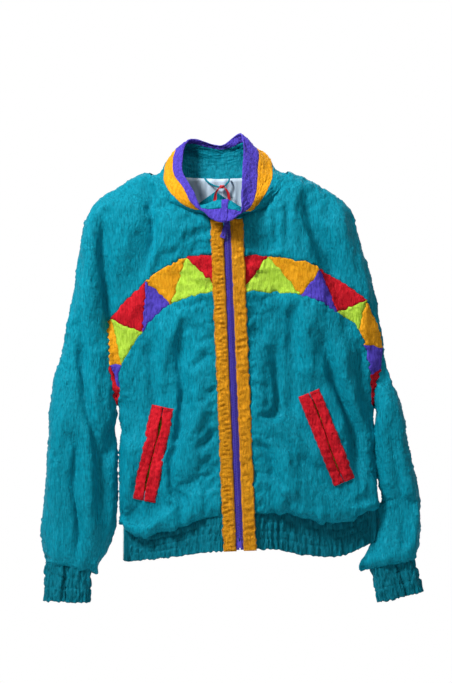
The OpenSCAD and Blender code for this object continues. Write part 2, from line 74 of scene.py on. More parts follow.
# ---- curves and random fields
def table_curve(table):
    """Smooth function through [place, value] pairs, held past its ends."""
    t = np.array(sorted(table), float)
    x, y = t[:, 0], t[:, 1]
    n = len(x)
    before, after = np.maximum(np.arange(n) - 1, 0), np.minimum(np.arange(n) + 1, n - 1)
    m = (y[after] - y[before]) / (x[after] - x[before])

    def value(v):
        v = np.clip(np.asarray(v, float), x[0], x[-1])
        i = np.clip(np.searchsorted(x, v, side="right") - 1, 0, n - 2)
        h = x[i + 1] - x[i]
        u = (v - x[i]) / h
        return (y[i] * (2 * u**3 - 3 * u**2 + 1) + y[i + 1] * (3 * u**2 - 2 * u**3)
                + h * (m[i] * (u**3 - 2 * u**2 + u) + m[i + 1] * (u**3 - u**2)))
    return value


def along(points, s, closed=False):
    """Points at s = 0..1 on a Catmull-Rom path."""
    p = np.array(points, float)
    n = len(p) if closed else len(p) - 1
    s = np.mod(s, 1.0) if closed else np.clip(s, 0, 1)
    v = np.asarray(s, float) * n
    i = np.minimum(np.floor(v).astype(int), n - 1)
    u = (v - i)[..., None]

    def q(j):
        return p[j % len(p)] if closed else p[np.clip(j, 0, n)]
    a, b, c, d = q(i - 1), q(i), q(i + 1), q(i + 2)
    return 0.5 * (2 * b + (c - a) * u + (2 * a - 5 * b + 4 * c - d) * u**2 + (3 * b - a - 3 * c + d) * u**3)


def run_along(p):
    """Distance along a polyline of each of its points."""
    return np.concatenate([[0], np.cumsum(np.linalg.norm(np.diff(p, axis=0), axis=1))])


def at_run(values, run, at):
    """Rows of values found at distances along a polyline, where run gives the distance of each row."""
    return np.stack([np.interp(at, run, values[:, k]) for k in range(values.shape[1])], -1)


def resample(points, step):
    """The polyline through points, cut into equal steps of about the given length."""
    p = np.asarray(points, float)
    run = run_along(p)
    return at_run(p, run, np.linspace(0, run[-1], max(1, int(round(run[-1] / step))) + 1))


def tree_of(points):
    """Search tree over points in two or three dimensions."""
    tree = kdtree.KDTree(len(points))
    for i, p in enumerate(points):
        tree.insert((*p, 0)[:3], i)
    tree.balance()
    return tree


def smoothstep(v):
    v = np.clip(v, 0, 1)
    return v * v * (3 - 2 * v)


def field(p, wavelengths, seed, waves=26):
    """Smooth random field of about unit size at points p, with a wavelength along each axis."""
    rng = np.random.default_rng(seed)
    p = np.asarray(p, float)
    k = rng.normal(size=(waves, p.shape[1])) * 2 * math.pi / np.array(wavelengths, float) / 1.2
    phase = rng.uniform(0, 2 * math.pi, waves)
    total = np.zeros(len(p))
    for j in range(waves):
        total += np.cos(p @ k[j] + phase[j])
    return total * math.sqrt(2 / waves)


def creases(p, wavelengths, seed):
    """Sharp crease lines, 0 away from them and 1 on them, where a random field crosses zero."""
    return np.clip(1 - np.abs(field(p, wavelengths, seed)) * 2.2, 0, 1) ** 1.5


# ---- the shape of the hung jacket
TORSO_X = [
    table_curve([[12, -128], [-4, -169], [-34, -215], [-60, -238], [-110, -240], [-236, -226], [-350, -212],
                 [-426, -200], [-560, -201], [-630, -200], [-700, -198]]),
    table_curve([[12, 118], [-4, 158], [-34, 208], [-60, 230], [-110, 246], [-200, 277], [-290, 302], [-350, 306],
                 [-435, 290], [-500, 296], [-578, 305], [-616, 305], [-700, 303]])]
SLEEVE_OUT = [
    table_curve([[-30, -213], [-60, -252], [-110, -264], [-190, -278], [-281, -297], [-372, -314], [-464, -326],
                 [-578, -337], [-646, -345], [-692, -343], [-740, -334]]),
    table_curve([[-30, 205], [-60, 243], [-110, 258], [-190, 283], [-281, 304], [-350, 316], [-420, 342],
                 [-464, 350], [-521, 359], [-616, 373], [-650, 376], [-692, 374], [-740, 368]])]
SLEEVE_IN = [
    table_curve([[-30, -160], [-60, -165], [-110, -180], [-236, -190], [-350, -197], [-426, -203], [-560, -204.5],
                 [-650, -204], [-682, -211], [-714, -224], [-740, -238]]),
    table_curve([[-30, 150], [-60, 165], [-110, 190], [-190, 225], [-281, 262], [-350, 285], [-420, 292.5],
                 [-464, 296], [-521, 302], [-578, 308.5], [-616, 309], [-650, 302], [-692, 291], [-740, 270]])]
TORSO_DEPTH = [table_curve([[12, 26], [-4, 36], [-60, 52], [-90, 58], [-700, 60]]),
               table_curve([[12, 20], [-60, 30], [-150, 34], [-700, 36]])]
SLEEVE_DEPTH = [
    [table_curve([[-30, 20], [-60, 34], [-200, 34], [-360, 34], [-480, 44], [-650, 42], [-740, 30]]),
     table_curve([[-30, 14], [-60, 20], [-200, 26], [-480, 28], [-650, 28], [-740, 22]])],
    [table_curve([[-30, 18], [-60, 26], [-200, 18], [-300, 12], [-380, 12], [-440, 30], [-480, 36], [-650, 36],
                  [-740, 28]]),
     table_curve([[-30, 16], [-60, 24], [-200, 34], [-480, 40], [-650, 40], [-740, 30]])]]
UNDERARM_Z = (-428, -434)
SHOULDER_Z = (8, 9)                      # where the shoulder seam meets the neck
ARM_TOP_Z = -28                          # a sleeve's own roundness starts below this height
# lower edge of each sleeve: two points (x, z)
SLEEVE_END = (((-338, -733), (-245, -754)), ((280, -750), (368, -729)))
SLEEVE_ROLL_R = 6.0
SLEEVE_SHIFT = (7, -13)                  # how far the inner edge of each sleeve lies in towards the body,
SLEEVE_BEHIND = 12                       # and how far behind it
BAND_TOP = [[(-8, -152), (-66, -157), (-142, -198), (-207, -266), (-213, -350), (-203, -424)],
            [(34, -154), (86, -154), (186, -173), (271, -231), (308, -318), (292, -426)]]
BAND_BOTTOM = [[(-3, -218), (-97, -243), (-152, -293), (-192, -350), (-196, -396), (-200, -427)],
               [(37, -220), (146, -224), (220, -253), (262, -285), (286, -370), (290, -432)]]
BACK_SEAM = [[(14, -250), (-70, -256), (-150, -300), (-200, -428)],
             [(14, -250), (100, -256), (210, -300), (290, -434)]]
NECK_FRONT = [[(-18, -84), (-56, -65), (-98, -37)], [(40, -82), (70, -56), (98, -30)]]
NECK_BACK = [[(6, -5), (-60, -4), (-110, 2)], [(6, -5), (60, -4), (98, 3)]]
BAND_COLOURS = ("red", "green", "orange", "purple")
BLUNT = (0.0, 0.36)                      # blunt points of the last two patches, as a share of a span

slide = joints["zip_slide"]["axis"]
ZIP_TAN = -slide[0] / slide[2]           # how far the zip moves to +X for each unit down
ZIP_TOP = (9.0, -97.0)
ZIP_Y = -62.0
TAPE_W, PLACKET_W = 6.5, 24.5
ZIP_LENGTH = 603.0
ROLL_TURN = math.radians(150)            # how far the cloth turns under where it is gathered to the hem
BLOUSE_Z = [table_curve([[-200, -660], [-171, -686], [-129, -680], [-74, -665], [-24, -645], [62, -640],
                         [125, -641], [179, -654], [245, -655], [305, -625]]),
            table_curve([[-200, -660], [-60, -678], [160, -664], [305, -625]])]
ROLL_R = [table_curve([[-200, 9], [-150, 12], [-60, 9], [-12, 3], [54, 3], [110, 10], [200, 12], [305, 9]]),
          table_curve([[-200, 9], [0, 11], [200, 11], [305, 9]])]
HEM_Z = table_curve([[-176, -731], [-110, -724], [-40, -712], [10, -707], [60, -704], [104, -706],
                     [150, -716], [220, -721], [252, -710], [287, -694]])


def zip_x(z):
    return ZIP_TOP[0] + (ZIP_TOP[1] - np.asarray(z, float)) * ZIP_TAN


def outline_x(k, z):
    pick = np.minimum if k == 0 else np.maximum
    z = np.asarray(z, float)
    return np.where(z > UNDERARM_Z[k], pick(TORSO_X[k](z), np.where(z < -30, SLEEVE_OUT[k](z), TORSO_X[k](z))),
                    SLEEVE_OUT[k](z))


def arch(x, lo, hi):
    s = (2 * x - lo - hi) / (hi - lo)
    return np.sqrt(np.clip(1 - s * s, 0, 1))


def depth(x, z, face):
    """How far the front or back sheet stands from the plane of the side seams."""
    parts = [TORSO_DEPTH[face](z) * arch(x, TORSO_X[0](z), TORSO_X[1](z)),
             SLEEVE_DEPTH[0][face](z) * arch(x, SLEEVE_OUT[0](z), SLEEVE_IN[0](z)) * (z < ARM_TOP_Z),
             SLEEVE_DEPTH[1][face](z) * arch(x, SLEEVE_IN[1](z), SLEEVE_OUT[1](z)) * (z < ARM_TOP_Z)]
    return sum(p**8 for p in parts) ** 0.125


def roll_start(x, face):
    return BLOUSE_Z[face](x) + ROLL_R[face](x)


def roll_end(x, face):
    return roll_start(x, face) - ROLL_R[face](x) * ROLL_TURN


def sleeve_low(k, x):
    (x0, z0), (x1, z1) = SLEEVE_END[k]
    return z0 + (x - x0) * (z1 - z0) / (x1 - x0)


def sleeve_end(k, x):
    return sleeve_low(k, x) + SLEEVE_ROLL_R * (1 - ROLL_TURN)


def on_torso(x, w, face):
    return (x > TORSO_X[0](w) - 1.5) & (x < TORSO_X[1](w) + 1.5) & (w > roll_end(x, face) - 3)


def hung(pattern, face):
    """Points in space of pattern points (x, height). Below the roll the cloth turns in under itself."""
    x, w = pattern[:, 0], pattern[:, 1]
    in_torso = on_torso(x, w, face)
    k = (x > 0).astype(int)
    low = np.where(k == 0, sleeve_low(0, x), sleeve_low(1, x))
    radius = np.where(in_torso, ROLL_R[face](x), SLEEVE_ROLL_R)
    start = np.where(in_torso, roll_start(x, face), low + SLEEVE_ROLL_R)
    z = np.maximum(w, start)
    side = -1 if face == FRONT else 1
    y = side * depth(x, z, face)
    turn = np.clip((start - w) / radius, 0, ROLL_TURN)
    lo, hi, deep = TORSO_X[0](z), TORSO_X[1](z), TORSO_DEPTH[face](z)
    for j in (0, 1):
        mine = ~in_torso & (k == j)
        lo = np.where(mine, np.minimum(SLEEVE_OUT[j](z), SLEEVE_IN[j](z)), lo)
        hi = np.where(mine, np.maximum(SLEEVE_OUT[j](z), SLEEVE_IN[j](z)), hi)
        deep = np.where(mine, SLEEVE_DEPTH[j][face](z), deep)
    nx = (x - (lo + hi) / 2) / ((hi - lo) / 2) ** 2
    ny = y / deep**2
    length = np.hypot(nx, ny) + 1e-9
    inward = radius * (1 - np.cos(turn))
    share = np.where(k == 0, (x - SLEEVE_OUT[0](z)) / (SLEEVE_IN[0](z) - SLEEVE_OUT[0](z)),
                     (SLEEVE_OUT[1](z) - x) / (SLEEVE_OUT[1](z) - SLEEVE_IN[1](z)))
    tuck = np.where(in_torso, 0, smoothstep((UNDERARM_Z[0] - z) / 90) * np.clip(share, 0, 1))
    return np.stack([x - inward * nx / length + tuck * np.where(k == 0, *SLEEVE_SHIFT),
                     y - inward * ny / length + tuck * SLEEVE_BEHIND, z - radius * np.sin(turn)], 1)


# ---- folds that the hang gives: points, width, height
FOLDS = {
    FRONT: [
        ([(-227, -45), (-226, -105), (-214, -236), (-206, -330)], 10, -10),
        ([(-242, -60), (-248, -160), (-252, -300)], 15, 5),
        ([(-133, 0), (-137, -50), (-134, -105), (-146, -190)], 11, -8),
        ([(-165, -20), (-182, -90), (-186, -190)], 26, 7),
        ([(-272, -236), (-262, -391), (-241, -507), (-230, -610), (-226, -700)], 10, -10),
        ([(-276, -450), (-281, -585), (-272, -661), (-280, -738)], 8, -9),
        ([(-204, -455), (-233, -545)], 10, -6),
        ([(-252, -420), (-256, -600), (-250, -710)], 14, 6),
        ([(-308, -300), (-318, -500), (-320, -660)], 20, 5),
        ([(-144, -293), (-136, -391), (-140, -490)], 10, -6),
        ([(-78, -255), (-79, -430), (-92, -546)], 11, -7),
        ([(-107, -250), (-110, -420)], 11, 5),
        ([(-92, -500), (-96, -570), (-82, -604), (-50, -628)], 8, -6),
        ([(-178, -470), (-180, -645)], 12, 6),
        ([(-12, -480), (-40, -515)], 6, -4),
        ([(-50, -300), (-45, -420), (-55, -590)], 14, 5),
        ([(-20, -330), (-60, -370)], 6, -3),
        ([(155, -15), (176, -98), (198, -140), (236, -205)], 13, -8),
        ([(121, 8), (92, -38), (60, -80)], 8, -6),
        ([(205, -50), (242, -150), (284, -270)], 20, 7),
        ([(122, -50), (126, -150)], 7, -3),
        ([(98, -60), (101, -150)], 6, -2.5),
        ([(143, -50), (147, -155)], 6, -2.5),
        ([(186, -268), (206, -352), (225, -410), (252, -480), (264, -580)], 11, -9),
        ([(225, -280), (243, -380), (278, -480)], 13, 5),
        ([(262, -300), (272, -420), (293, -487)], 9, -6),
        ([(101, -290), (106, -420), (97, -453), (52, -447)], 9, -7),
        ([(132, -232), (134, -352), (126, -490)], 12, -5),
        ([(160, -240), (168, -400)], 15, 5),
        ([(52, -500), (86, -523), (95, -590)], 8, -7),
        ([(75, -290), (70, -400), (75, -480)], 12, 5),
        ([(120, -500), (128, -620)], 14, 6),
        ([(356, -590), (344, -715)], 9, -7),
        ([(330, -430), (338, -600), (318, -710)], 12, -6),
        ([(345, -300), (352, -520)], 12, 4),
    ],
    BACK: [
        ([(-215, -60), (-212, -180), (-205, -330)], 12, -8),
        ([(-140, -30), (-150, -160), (-176, -330)], 13, -5),
        ([(-60, -260), (-66, -420), (-50, -600)], 13, -6),
        ([(20, -40), (26, -180), (18, -420), (30, -600)], 16, -5),
        ([(100, -250), (110, -430), (96, -600)], 13, -6),
        ([(190, -60), (214, -200), (240, -380)], 13, -7),
        ([(-20, -270), (-14, -430)], 18, 5), ([(66, -280), (62, -470)], 18, 5),
        ([(-130, -330), (-126, -560)], 16, 6), ([(180, -330), (190, -560)], 18, 6),
        ([(-270, -240), (-262, -400), (-250, -560), (-246, -700)], 11, -8),
        ([(300, -300), (322, -420), (340, -560), (330, -700)], 11, -8),
    ],
}


FOLD_GAIN = 1.6                          # how much deeper than listed the folds are made


def fold_height(pattern, face):
    total = np.zeros(len(pattern))
    for points, width, height in FOLDS[face]:
        line = resample(along(points, np.linspace(0, 1, 25)), 6)
        a, b = line[:-1], line[1:]
        ab = b - a
        best, where = np.full(len(pattern), 1e9), np.zeros(len(pattern))
        for j in range(len(a)):
            t = np.clip(((pattern - a[j]) @ ab[j]) / (ab[j] @ ab[j]), 0, 1)
            d = np.linalg.norm(pattern - a[j] - t[:, None] * ab[j], axis=1)
            near = d < best
            best[near] = d[near]
            where[near] = (j + t[near]) / len(a)
        ends = smoothstep(where / 0.25) * smoothstep((1 - where) / 0.25)
        total += FOLD_GAIN * height * ends * np.exp(-(best / width) ** 2)
    return total


def gathers(pattern, face):
    """Pleats where the cloth is gathered onto the hem and cuffs, and puckers beside the placket."""
    x, w = pattern[:, 0], pattern[:, 1]
    in_torso = on_torso(x, w, face)
    rise = np.where(in_torso, w - roll_end(x, face), w - np.where(x < 0, sleeve_end(0, x), sleeve_end(1, x)))
    wave = field(np.stack([x, w * 0.12], 1), (26, 60), 11 + face)
    height = 3.2 * np.exp(-np.abs(rise) / 42) * wave * smoothstep(rise / 14)
    if face == FRONT:
        beside = np.abs(x - zip_x(w)) - TAPE_W - PLACKET_W
        pucker = field(np.stack([x * 0.35, w], 1), (30, 24), 17)
        height += 2.2 * np.exp(-np.clip(beside, 0, 200) / 22) * pucker * in_torso
    return height


# ---- the pattern pieces, as polygons of (x, height)
EDGE = 6.0                               # mm between points along an outline or a seam
HIDDEN_LAP = 7.0                         # how far the fronts run in behind the placket


def sleeve_line(k, curve, z0, z1):
    z = np.linspace(z0, z1, 200)
    return resample(np.stack([curve(z), z], 1), EDGE)


def outer_line(k):
    z = np.linspace(SHOULDER_Z[k], sleeve_end(k, float(SLEEVE_OUT[k](-740))), 700)
    return resample(np.stack([outline_x(k, z), z], 1), EDGE)


def inner_line(k):
    """From the sleeve's end up to the underarm, then down the side seam to the hem."""
    up = sleeve_line(k, SLEEVE_IN[k], sleeve_end(k, float(SLEEVE_IN[k](-740))), UNDERARM_Z[k])
    side_x = float(TORSO_X[k](-650))
    start, end = float(roll_start(side_x, FRONT)), float(roll_end(side_x, FRONT))
    z = np.linspace(UNDERARM_Z[k], start, 120)
    down = resample(np.stack([TORSO_X[k](z), z], 1), EDGE)
    x = down[-1, 0]
    roll = resample(np.array([[x, start], [x, end]]), 4)
    return np.concatenate([up, down, roll[1:]])


def hem_line(x0, x1, face):
    x = np.linspace(x0, x1, max(2, int(abs(x1 - x0) / EDGE)) + 1)
    return np.stack([x, roll_end(x, face)], 1)


def neck_line(points, k):
    tip = (float(outline_x(k, SHOULDER_Z[k])), SHOULDER_Z[k])
    return resample(along([*points, tip], np.linspace(0, 1, 60)), EDGE)


def join(*lines):
    out = [np.asarray(lines[0])]
    for line in lines[1:]:
        line = np.asarray(line)
        out.append(line[1:] if np.linalg.norm(line[0] - out[-1][-1]) < 0.5 else line)
    ring = np.concatenate(out)
    return ring[:-1] if np.linalg.norm(ring[0] - ring[-1]) < 0.5 else ring


def placket_edge(k, z):
    s = -1 if k == 0 else 1
    return zip_x(z) + s * (TAPE_W + PLACKET_W - HIDDEN_LAP)


def front_ring(k):
    inner = inner_line(k)
    hem_x = float(placket_edge(k, -640))
    hem = hem_line(inner[-1, 0], hem_x, FRONT)
    z = np.linspace(hem[-1, 1], NECK_FRONT[k][0][1], 120)
    edge = resample(np.stack([placket_edge(k, z), z], 1), EDGE)
    neck = neck_line([(float(edge[-1, 0]), float(edge[-1, 1])), *NECK_FRONT[k][1:]], k)
    outer = outer_line(k)
    cuff = resample(np.array([outer[-1], inner[0]]), EDGE)
    return join(neck, outer, cuff, inner, hem, edge)


def back_ring():
    parts = []
    for k in (0, 1):
        inner, outer = inner_line(k), outer_line(k)
        cuff = resample(np.array([outer[-1], inner[0]]), EDGE)
        parts.append(join(neck_line(NECK_BACK[k], k), outer, cuff, inner))
    hem = hem_line(parts[0][-1, 0], parts[1][-1, 0], BACK)
    return join(parts[0], hem, parts[1][::-1])


def inside(points, ring):
    x, y = points[:, 0], points[:, 1]
    hit = np.zeros(len(points), bool)
    for a, b in zip(ring, np.roll(ring, -1, axis=0)):
        if a[1] == b[1]:
            continue
        crosses = (a[1] > y) != (b[1] > y)
        hit ^= crosses & (x < (b[0] - a[0]) * (y - a[1]) / (b[1] - a[1]) + a[0])
    return hit


def seam(points, s0=0.0, s1=1.0):
    return resample(along(points, np.linspace(s0, s1, 80)), EDGE)


def patches(k):
    """The chest band's patches in order: colour number, then its span of the top seam and of the lower one.
    They hang from the top seam and stand on the lower in turn; the last tapers to the underarm."""
    last = len(BAND_TOP[k]) - 1
    out = []
    for i in range(last - 1):
        c = 2 * (i % 2)
        blunt = BLUNT[k] if i == last - 2 else 0.0
        out.append((c, (i, i + 1), (i, i + blunt)))
        out.append((c + 1, (i + 1, i + 1 + blunt), (i + blunt, i + 1)))
    out.append((0, (last - 1 + blunt, last), (last - 1, last)))
    return [(c, (t0 / last, t1 / last), (l0 / last, l1 / last)) for c, (t0, t1), (l0, l1) in out]


def seam_span(points, s0, s1):
    """Part of a seam, or a single point of it where the span is empty."""
    return seam(points, s0, s1) if s1 > s0 else seam(points, s0, s0 + 1e-6)[:1]


def patch_rings(k):
    return [(c, np.concatenate([seam_span(BAND_TOP[k], *top), seam_span(BAND_BOTTOM[k], *low)[::-1]]))
            for c, top, low in patches(k)]


def panel_ring(k):
    seam_line = seam(BAND_BOTTOM[k])
    seam_line[0, 0] = float(placket_edge(k, seam_line[0, 1])) + (3 if k == 0 else -3)
    x_in = float(placket_edge(k, -660)) + (6 if k == 0 else -6)
    side = [(float(TORSO_X[k](z)) + (-1.5 if k == 0 else 1.5), z)
            for z in np.linspace(UNDERARM_Z[k] - 2, -720, 40)]
    return np.concatenate([seam_line, side, [(x_in, -760), (x_in, -400)]])


def back_panel_ring():
    a, b = seam(BACK_SEAM[0]), seam(BACK_SEAM[1])
    sides = [[(float(TORSO_X[k](z)) + s * 1.5, z) for z in np.linspace(UNDERARM_Z[k] - 2, -730, 40)]
             for k, s in ((0, -1), (1, 1))]
    return np.concatenate([a, sides[0], sides[1][::-1], b[::-1]])


MERGE = 0.9                              # points of a pattern nearer than this become one
SLIVER = 0.2                             # twice the area of a triangle too small to keep
REGIONS = []                             # names of the shell's pieces, by number


def region(name):
    if name not in REGIONS:
        REGIONS.append(name)
    return REGIONS.index(name)


def triangulate(ring, seams, spacing):
    """Triangles over the ring, with its points and the seams' points as corners, and even points between."""
    points, edges = [], []

    def add(line, closed):
        first = len(points)
        points.extend(Vector(p) for p in line)
        n = len(line)
        edges.extend((first + i, first + (i + 1) % n) for i in range(n if closed else n - 1))
    add(ring, True)
    for line in seams:
        add(line, False)
    tangent = np.roll(ring, -1, axis=0) - np.roll(ring, 1, axis=0)
    normal = np.stack([-tangent[:, 1], tangent[:, 0]], 1) / np.linalg.norm(tangent, axis=1)[:, None]
    extra = []
    for step in (1.7, 4.6):
        for sign in (1, -1):
            row = ring + sign * step * normal
            extra.append(row[inside(row, ring)])
    extra = np.concatenate(extra)
    lo, hi = ring.min(0), ring.max(0)
    grid = np.array([(x + (spacing / 2 if j % 2 else 0), y)
                     for j, y in enumerate(np.arange(lo[1], hi[1], spacing * 0.866))
                     for x in np.arange(lo[0], hi[0], spacing)])
    grid = grid[inside(grid, ring)]
    tree, near = tree_of(points), tree_of(extra)
    points.extend(Vector(p) for p in extra if tree.find((p[0], p[1], 0))[2] > 1.3)
    points.extend(Vector(p) for p in grid
                  if tree.find((p[0], p[1], 0))[2] > spacing * 0.6 and near.find((p[0], p[1], 0))[2] > spacing * 0.5)
    verts, _, faces, *_ = geometry.delaunay_2d_cdt(points, edges, [], 0, MERGE)
    verts = np.array([tuple(v) for v in verts])
    faces = np.array(faces)
    return verts, faces[inside(verts[faces].mean(1), ring)]


def shell_mesh(spacing):
    """The whole outer shell in one mesh: points, pattern points, faces, faces' regions, points' sheets."""
    all_p, all_w, all_f, all_r, all_s = [], [], [], [], []
    count = 0
    centre_back = resample(np.array([NECK_BACK[0][0], BACK_SEAM[0][0]], float), EDGE)
    charts = [(FRONT, front_ring(k), [seam(BAND_TOP[k]), seam(BAND_BOTTOM[k])], k) for k in (0, 1)]
    charts.append((BACK, back_ring(), [seam(BACK_SEAM[0]), seam(BACK_SEAM[1]), centre_back], None))
    for face, ring, seams, k in charts:
        if face == FRONT:
            for _, (_, t1), (_, l1) in patches(k)[:-1]:
                ends = np.concatenate([along(BAND_TOP[k], np.array([t1])), along(BAND_BOTTOM[k], np.array([l1]))])
                seams.append(resample(ends, EDGE))
        seams = [line[inside(line, ring)] for line in seams]
        seams = [line for line in seams if len(line) > 1]
        verts, faces = triangulate(ring, seams, spacing)
        centre = verts[faces].mean(1)
        if face == FRONT:
            ids = np.full(len(faces), region("yoke_front_" + SIDES[k]))
            ids[inside(centre, panel_ring(k))] = region("front_panel_" + SIDES[k])
            for c, patch in patch_rings(k):
                ids[inside(centre, patch)] = region(f"chest_band_{SIDES[k]}_{BAND_COLOURS[c]}")
        else:
            ids = np.where(centre[:, 0] < 10, region("yoke_back_right"), region("yoke_back_left"))
            ids[inside(centre, back_panel_ring())] = region("back_panel")
        flat = hung(verts, face)
        if face == BACK:
            faces = faces[:, ::-1]
        all_p.append(flat)
        all_w.append(verts)
        all_f.append(faces + count)
        all_r.append(ids)
        all_s.append(np.full(len(verts), face))
        count += len(verts)
    p, w, f = np.concatenate(all_p), np.concatenate(all_w), np.concatenate(all_f)
    s = np.concatenate(all_s)
    first, same = {}, np.arange(len(p))
    for i, key in enumerate(map(tuple, np.round(p / 0.4).astype(int))):
        if abs(p[i, 1]) < 0.5:
            same[i] = first.setdefault(key, i)
    kept = np.unique(same)
    index = np.zeros(len(p), int)
    index[kept] = np.arange(len(kept))
    f = index[same[f]]
    q = p[kept]
    whole = np.linalg.norm(np.cross(q[f[:, 1]] - q[f[:, 0]], q[f[:, 2]] - q[f[:, 0]]), axis=1) > SLIVER
    return p[kept], w[kept], f[whole], np.concatenate(all_r)[whole], s[kept]


def normals_of(p, f):
    n = np.cross(p[f[:, 1]] - p[f[:, 0]], p[f[:, 2]] - p[f[:, 0]])
    out = np.zeros_like(p)
    for k in range(3):
        np.add.at(out, f[:, k], n)
    return out / (np.linalg.norm(out, axis=1)[:, None] + 1e-12)


# ---- meshes
def make(name, points, faces, material, slot, body=None, smooth=True):
    """Object from points in millimetres."""
    mesh = bpy.data.meshes.new(name)
    mesh.from_pydata((np.asarray(points) * MM).tolist(), [], [list(map(int, f)) for f in faces])
    mesh.validate()
    mesh.polygons.foreach_set("use_smooth", [smooth] * len(mesh.polygons))
    obj = bpy.data.objects.new(name, mesh)
    bpy.context.collection.objects.link(obj)
    if material:
        mesh.materials.append(material)
    if body:
        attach(obj, body)
    return obj


def bake(obj):
    """Applies the object's modifiers to its mesh."""
    graph = bpy.context.evaluated_depsgraph_get()
    mesh = bpy.data.meshes.new_from_object(obj.evaluated_get(graph), depsgraph=graph)
    obj.modifiers.clear()
    old, obj.data = obj.data, mesh
    mesh.name = obj.name
    bpy.data.meshes.remove(old)
    return obj


def thicken(obj, thickness, offset=-1.0):
    m = obj.modifiers.new("thickness", "SOLIDIFY")
    m.thickness, m.offset, m.use_even_offset = thickness * MM, offset, False
    return bake(obj)


def grid_faces(rows, cols, wrap=False):
    return [(i * cols + j, i * cols + (j + 1) % cols, (i + 1) * cols + (j + 1) % cols, (i + 1) * cols + j)
            for i in range(rows - 1) for j in range(cols if wrap else cols - 1)]


def two_leaves(rows, cols):
    """Faces of two grids of points, one after the other, joined round their edge."""
    n = rows * cols
    leaf = grid_faces(rows, cols)
    rim = [*range(cols)] + [i * cols + cols - 1 for i in range(1, rows)] \
        + [(rows - 1) * cols + j for j in range(cols - 2, -1, -1)] + [i * cols for i in range(rows - 2, 0, -1)]
    return leaf + [tuple(n + a for a in g[::-1]) for g in leaf] \
        + [(a, b, b + n, a + n) for a, b in zip(rim, rim[1:] + rim[:1])]


def merged(parts):
    """One set of points and faces from several."""
    points, faces = [], []
    for p, f in parts:
        faces.extend(tuple(len(points) + i for i in g) for g in f)
        points.extend(p)
    return np.array(points), faces


def vectors(mesh, name):
    """The points' places ("co") or normals ("normal")."""
    v = np.empty(len(mesh.vertices) * 3)
    mesh.vertices.foreach_get(name, v)
    return v.reshape(-1, 3)


def flip_towards(points, faces, outward):
    """Faces of a sheet turned so that their normals point along outward."""
    a, b, c = (np.asarray(points)[[f[i] for f in faces]] for i in (0, 1, 2))
    n = np.cross(b - a, c - a).sum(0)
    return faces if n @ np.asarray(outward, float) > 0 else [f[::-1] for f in faces]


# ---- materials
def srgb(r, g, b):
    return tuple((v / 12.92 if v <= 0.04045 else ((v + 0.055) / 1.055) ** 2.4)
                 for v in (r / 255, g / 255, b / 255))


class Nodes:
    """Short names for building a material's node tree."""

    def __init__(self, name):
        self.material = bpy.data.materials.new(name)
        self.material.use_nodes = True
        self.tree = self.material.node_tree
        self.shader = self.tree.nodes["Principled BSDF"]
        self.position = self.add("ShaderNodeTexCoord").outputs["Object"]

    def add(self, kind, **inputs):
        node = self.tree.nodes.new(kind)
        for key, value in inputs.items():
            self.set(node, key.replace("_", " "), value)
        return node

    def set(self, node, key, value):
        if isinstance(value, bpy.types.NodeSocket):
            self.tree.links.new(value, node.inputs[key])
        else:
            node.inputs[key].default_value = value

    def scaled(self, scale):
        node = self.add("ShaderNodeMapping", Vector=self.position)
        node.inputs["Scale"].default_value = scale
        return node.outputs["Vector"]

    def noise(self, scale, detail=2.0, roughness=0.5, size=1.0):
        return self.add("ShaderNodeTexNoise", Vector=self.scaled(scale), Scale=size, Detail=detail,
                        Roughness=roughness).outputs["Fac"]

    def ramp(self, value, stops):
        node = self.add("ShaderNodeValToRGB", Fac=value)
        ramp = node.color_ramp
        while len(ramp.elements) < len(stops):
            ramp.elements.new(0.5)
        for element, (place, colour) in zip(ramp.elements, stops):
            element.position = place
            element.color = (*colour, 1) if hasattr(colour, "__len__") else (colour, colour, colour, 1)
        return node.outputs["Color"]

    def mix(self, factor, a, b, mode="MIX"):
        node = self.tree.nodes.new("ShaderNodeMix")
        node.data_type, node.blend_type = "RGBA", mode
        for socket, value in ((node.inputs[0], factor), (node.inputs[6], a), (node.inputs[7], b)):
            if isinstance(value, bpy.types.NodeSocket):
                self.tree.links.new(value, socket)
            else:
                socket.default_value = (*value, 1) if hasattr(value, "__len__") else value
        return node.outputs[2]

    def bump(self, height, strength, distance, before=None):
        node = self.add("ShaderNodeBump", Height=height, Strength=strength, Distance=distance)
        if before is not None:
            self.tree.links.new(before, node.inputs["Normal"])
        return node.outputs["Normal"]

    def finish(self, colour=None, normal=None, **sockets):
        if colour is not None:
            self.set(self.shader, "Base Color", (*colour, 1) if isinstance(colour, tuple) else colour)
        if normal is not None:
            self.set(self.shader, "Normal", normal)
        for key, value in sockets.items():
            self.set(self.shader, key.replace("_", " "), value)
        return self.material


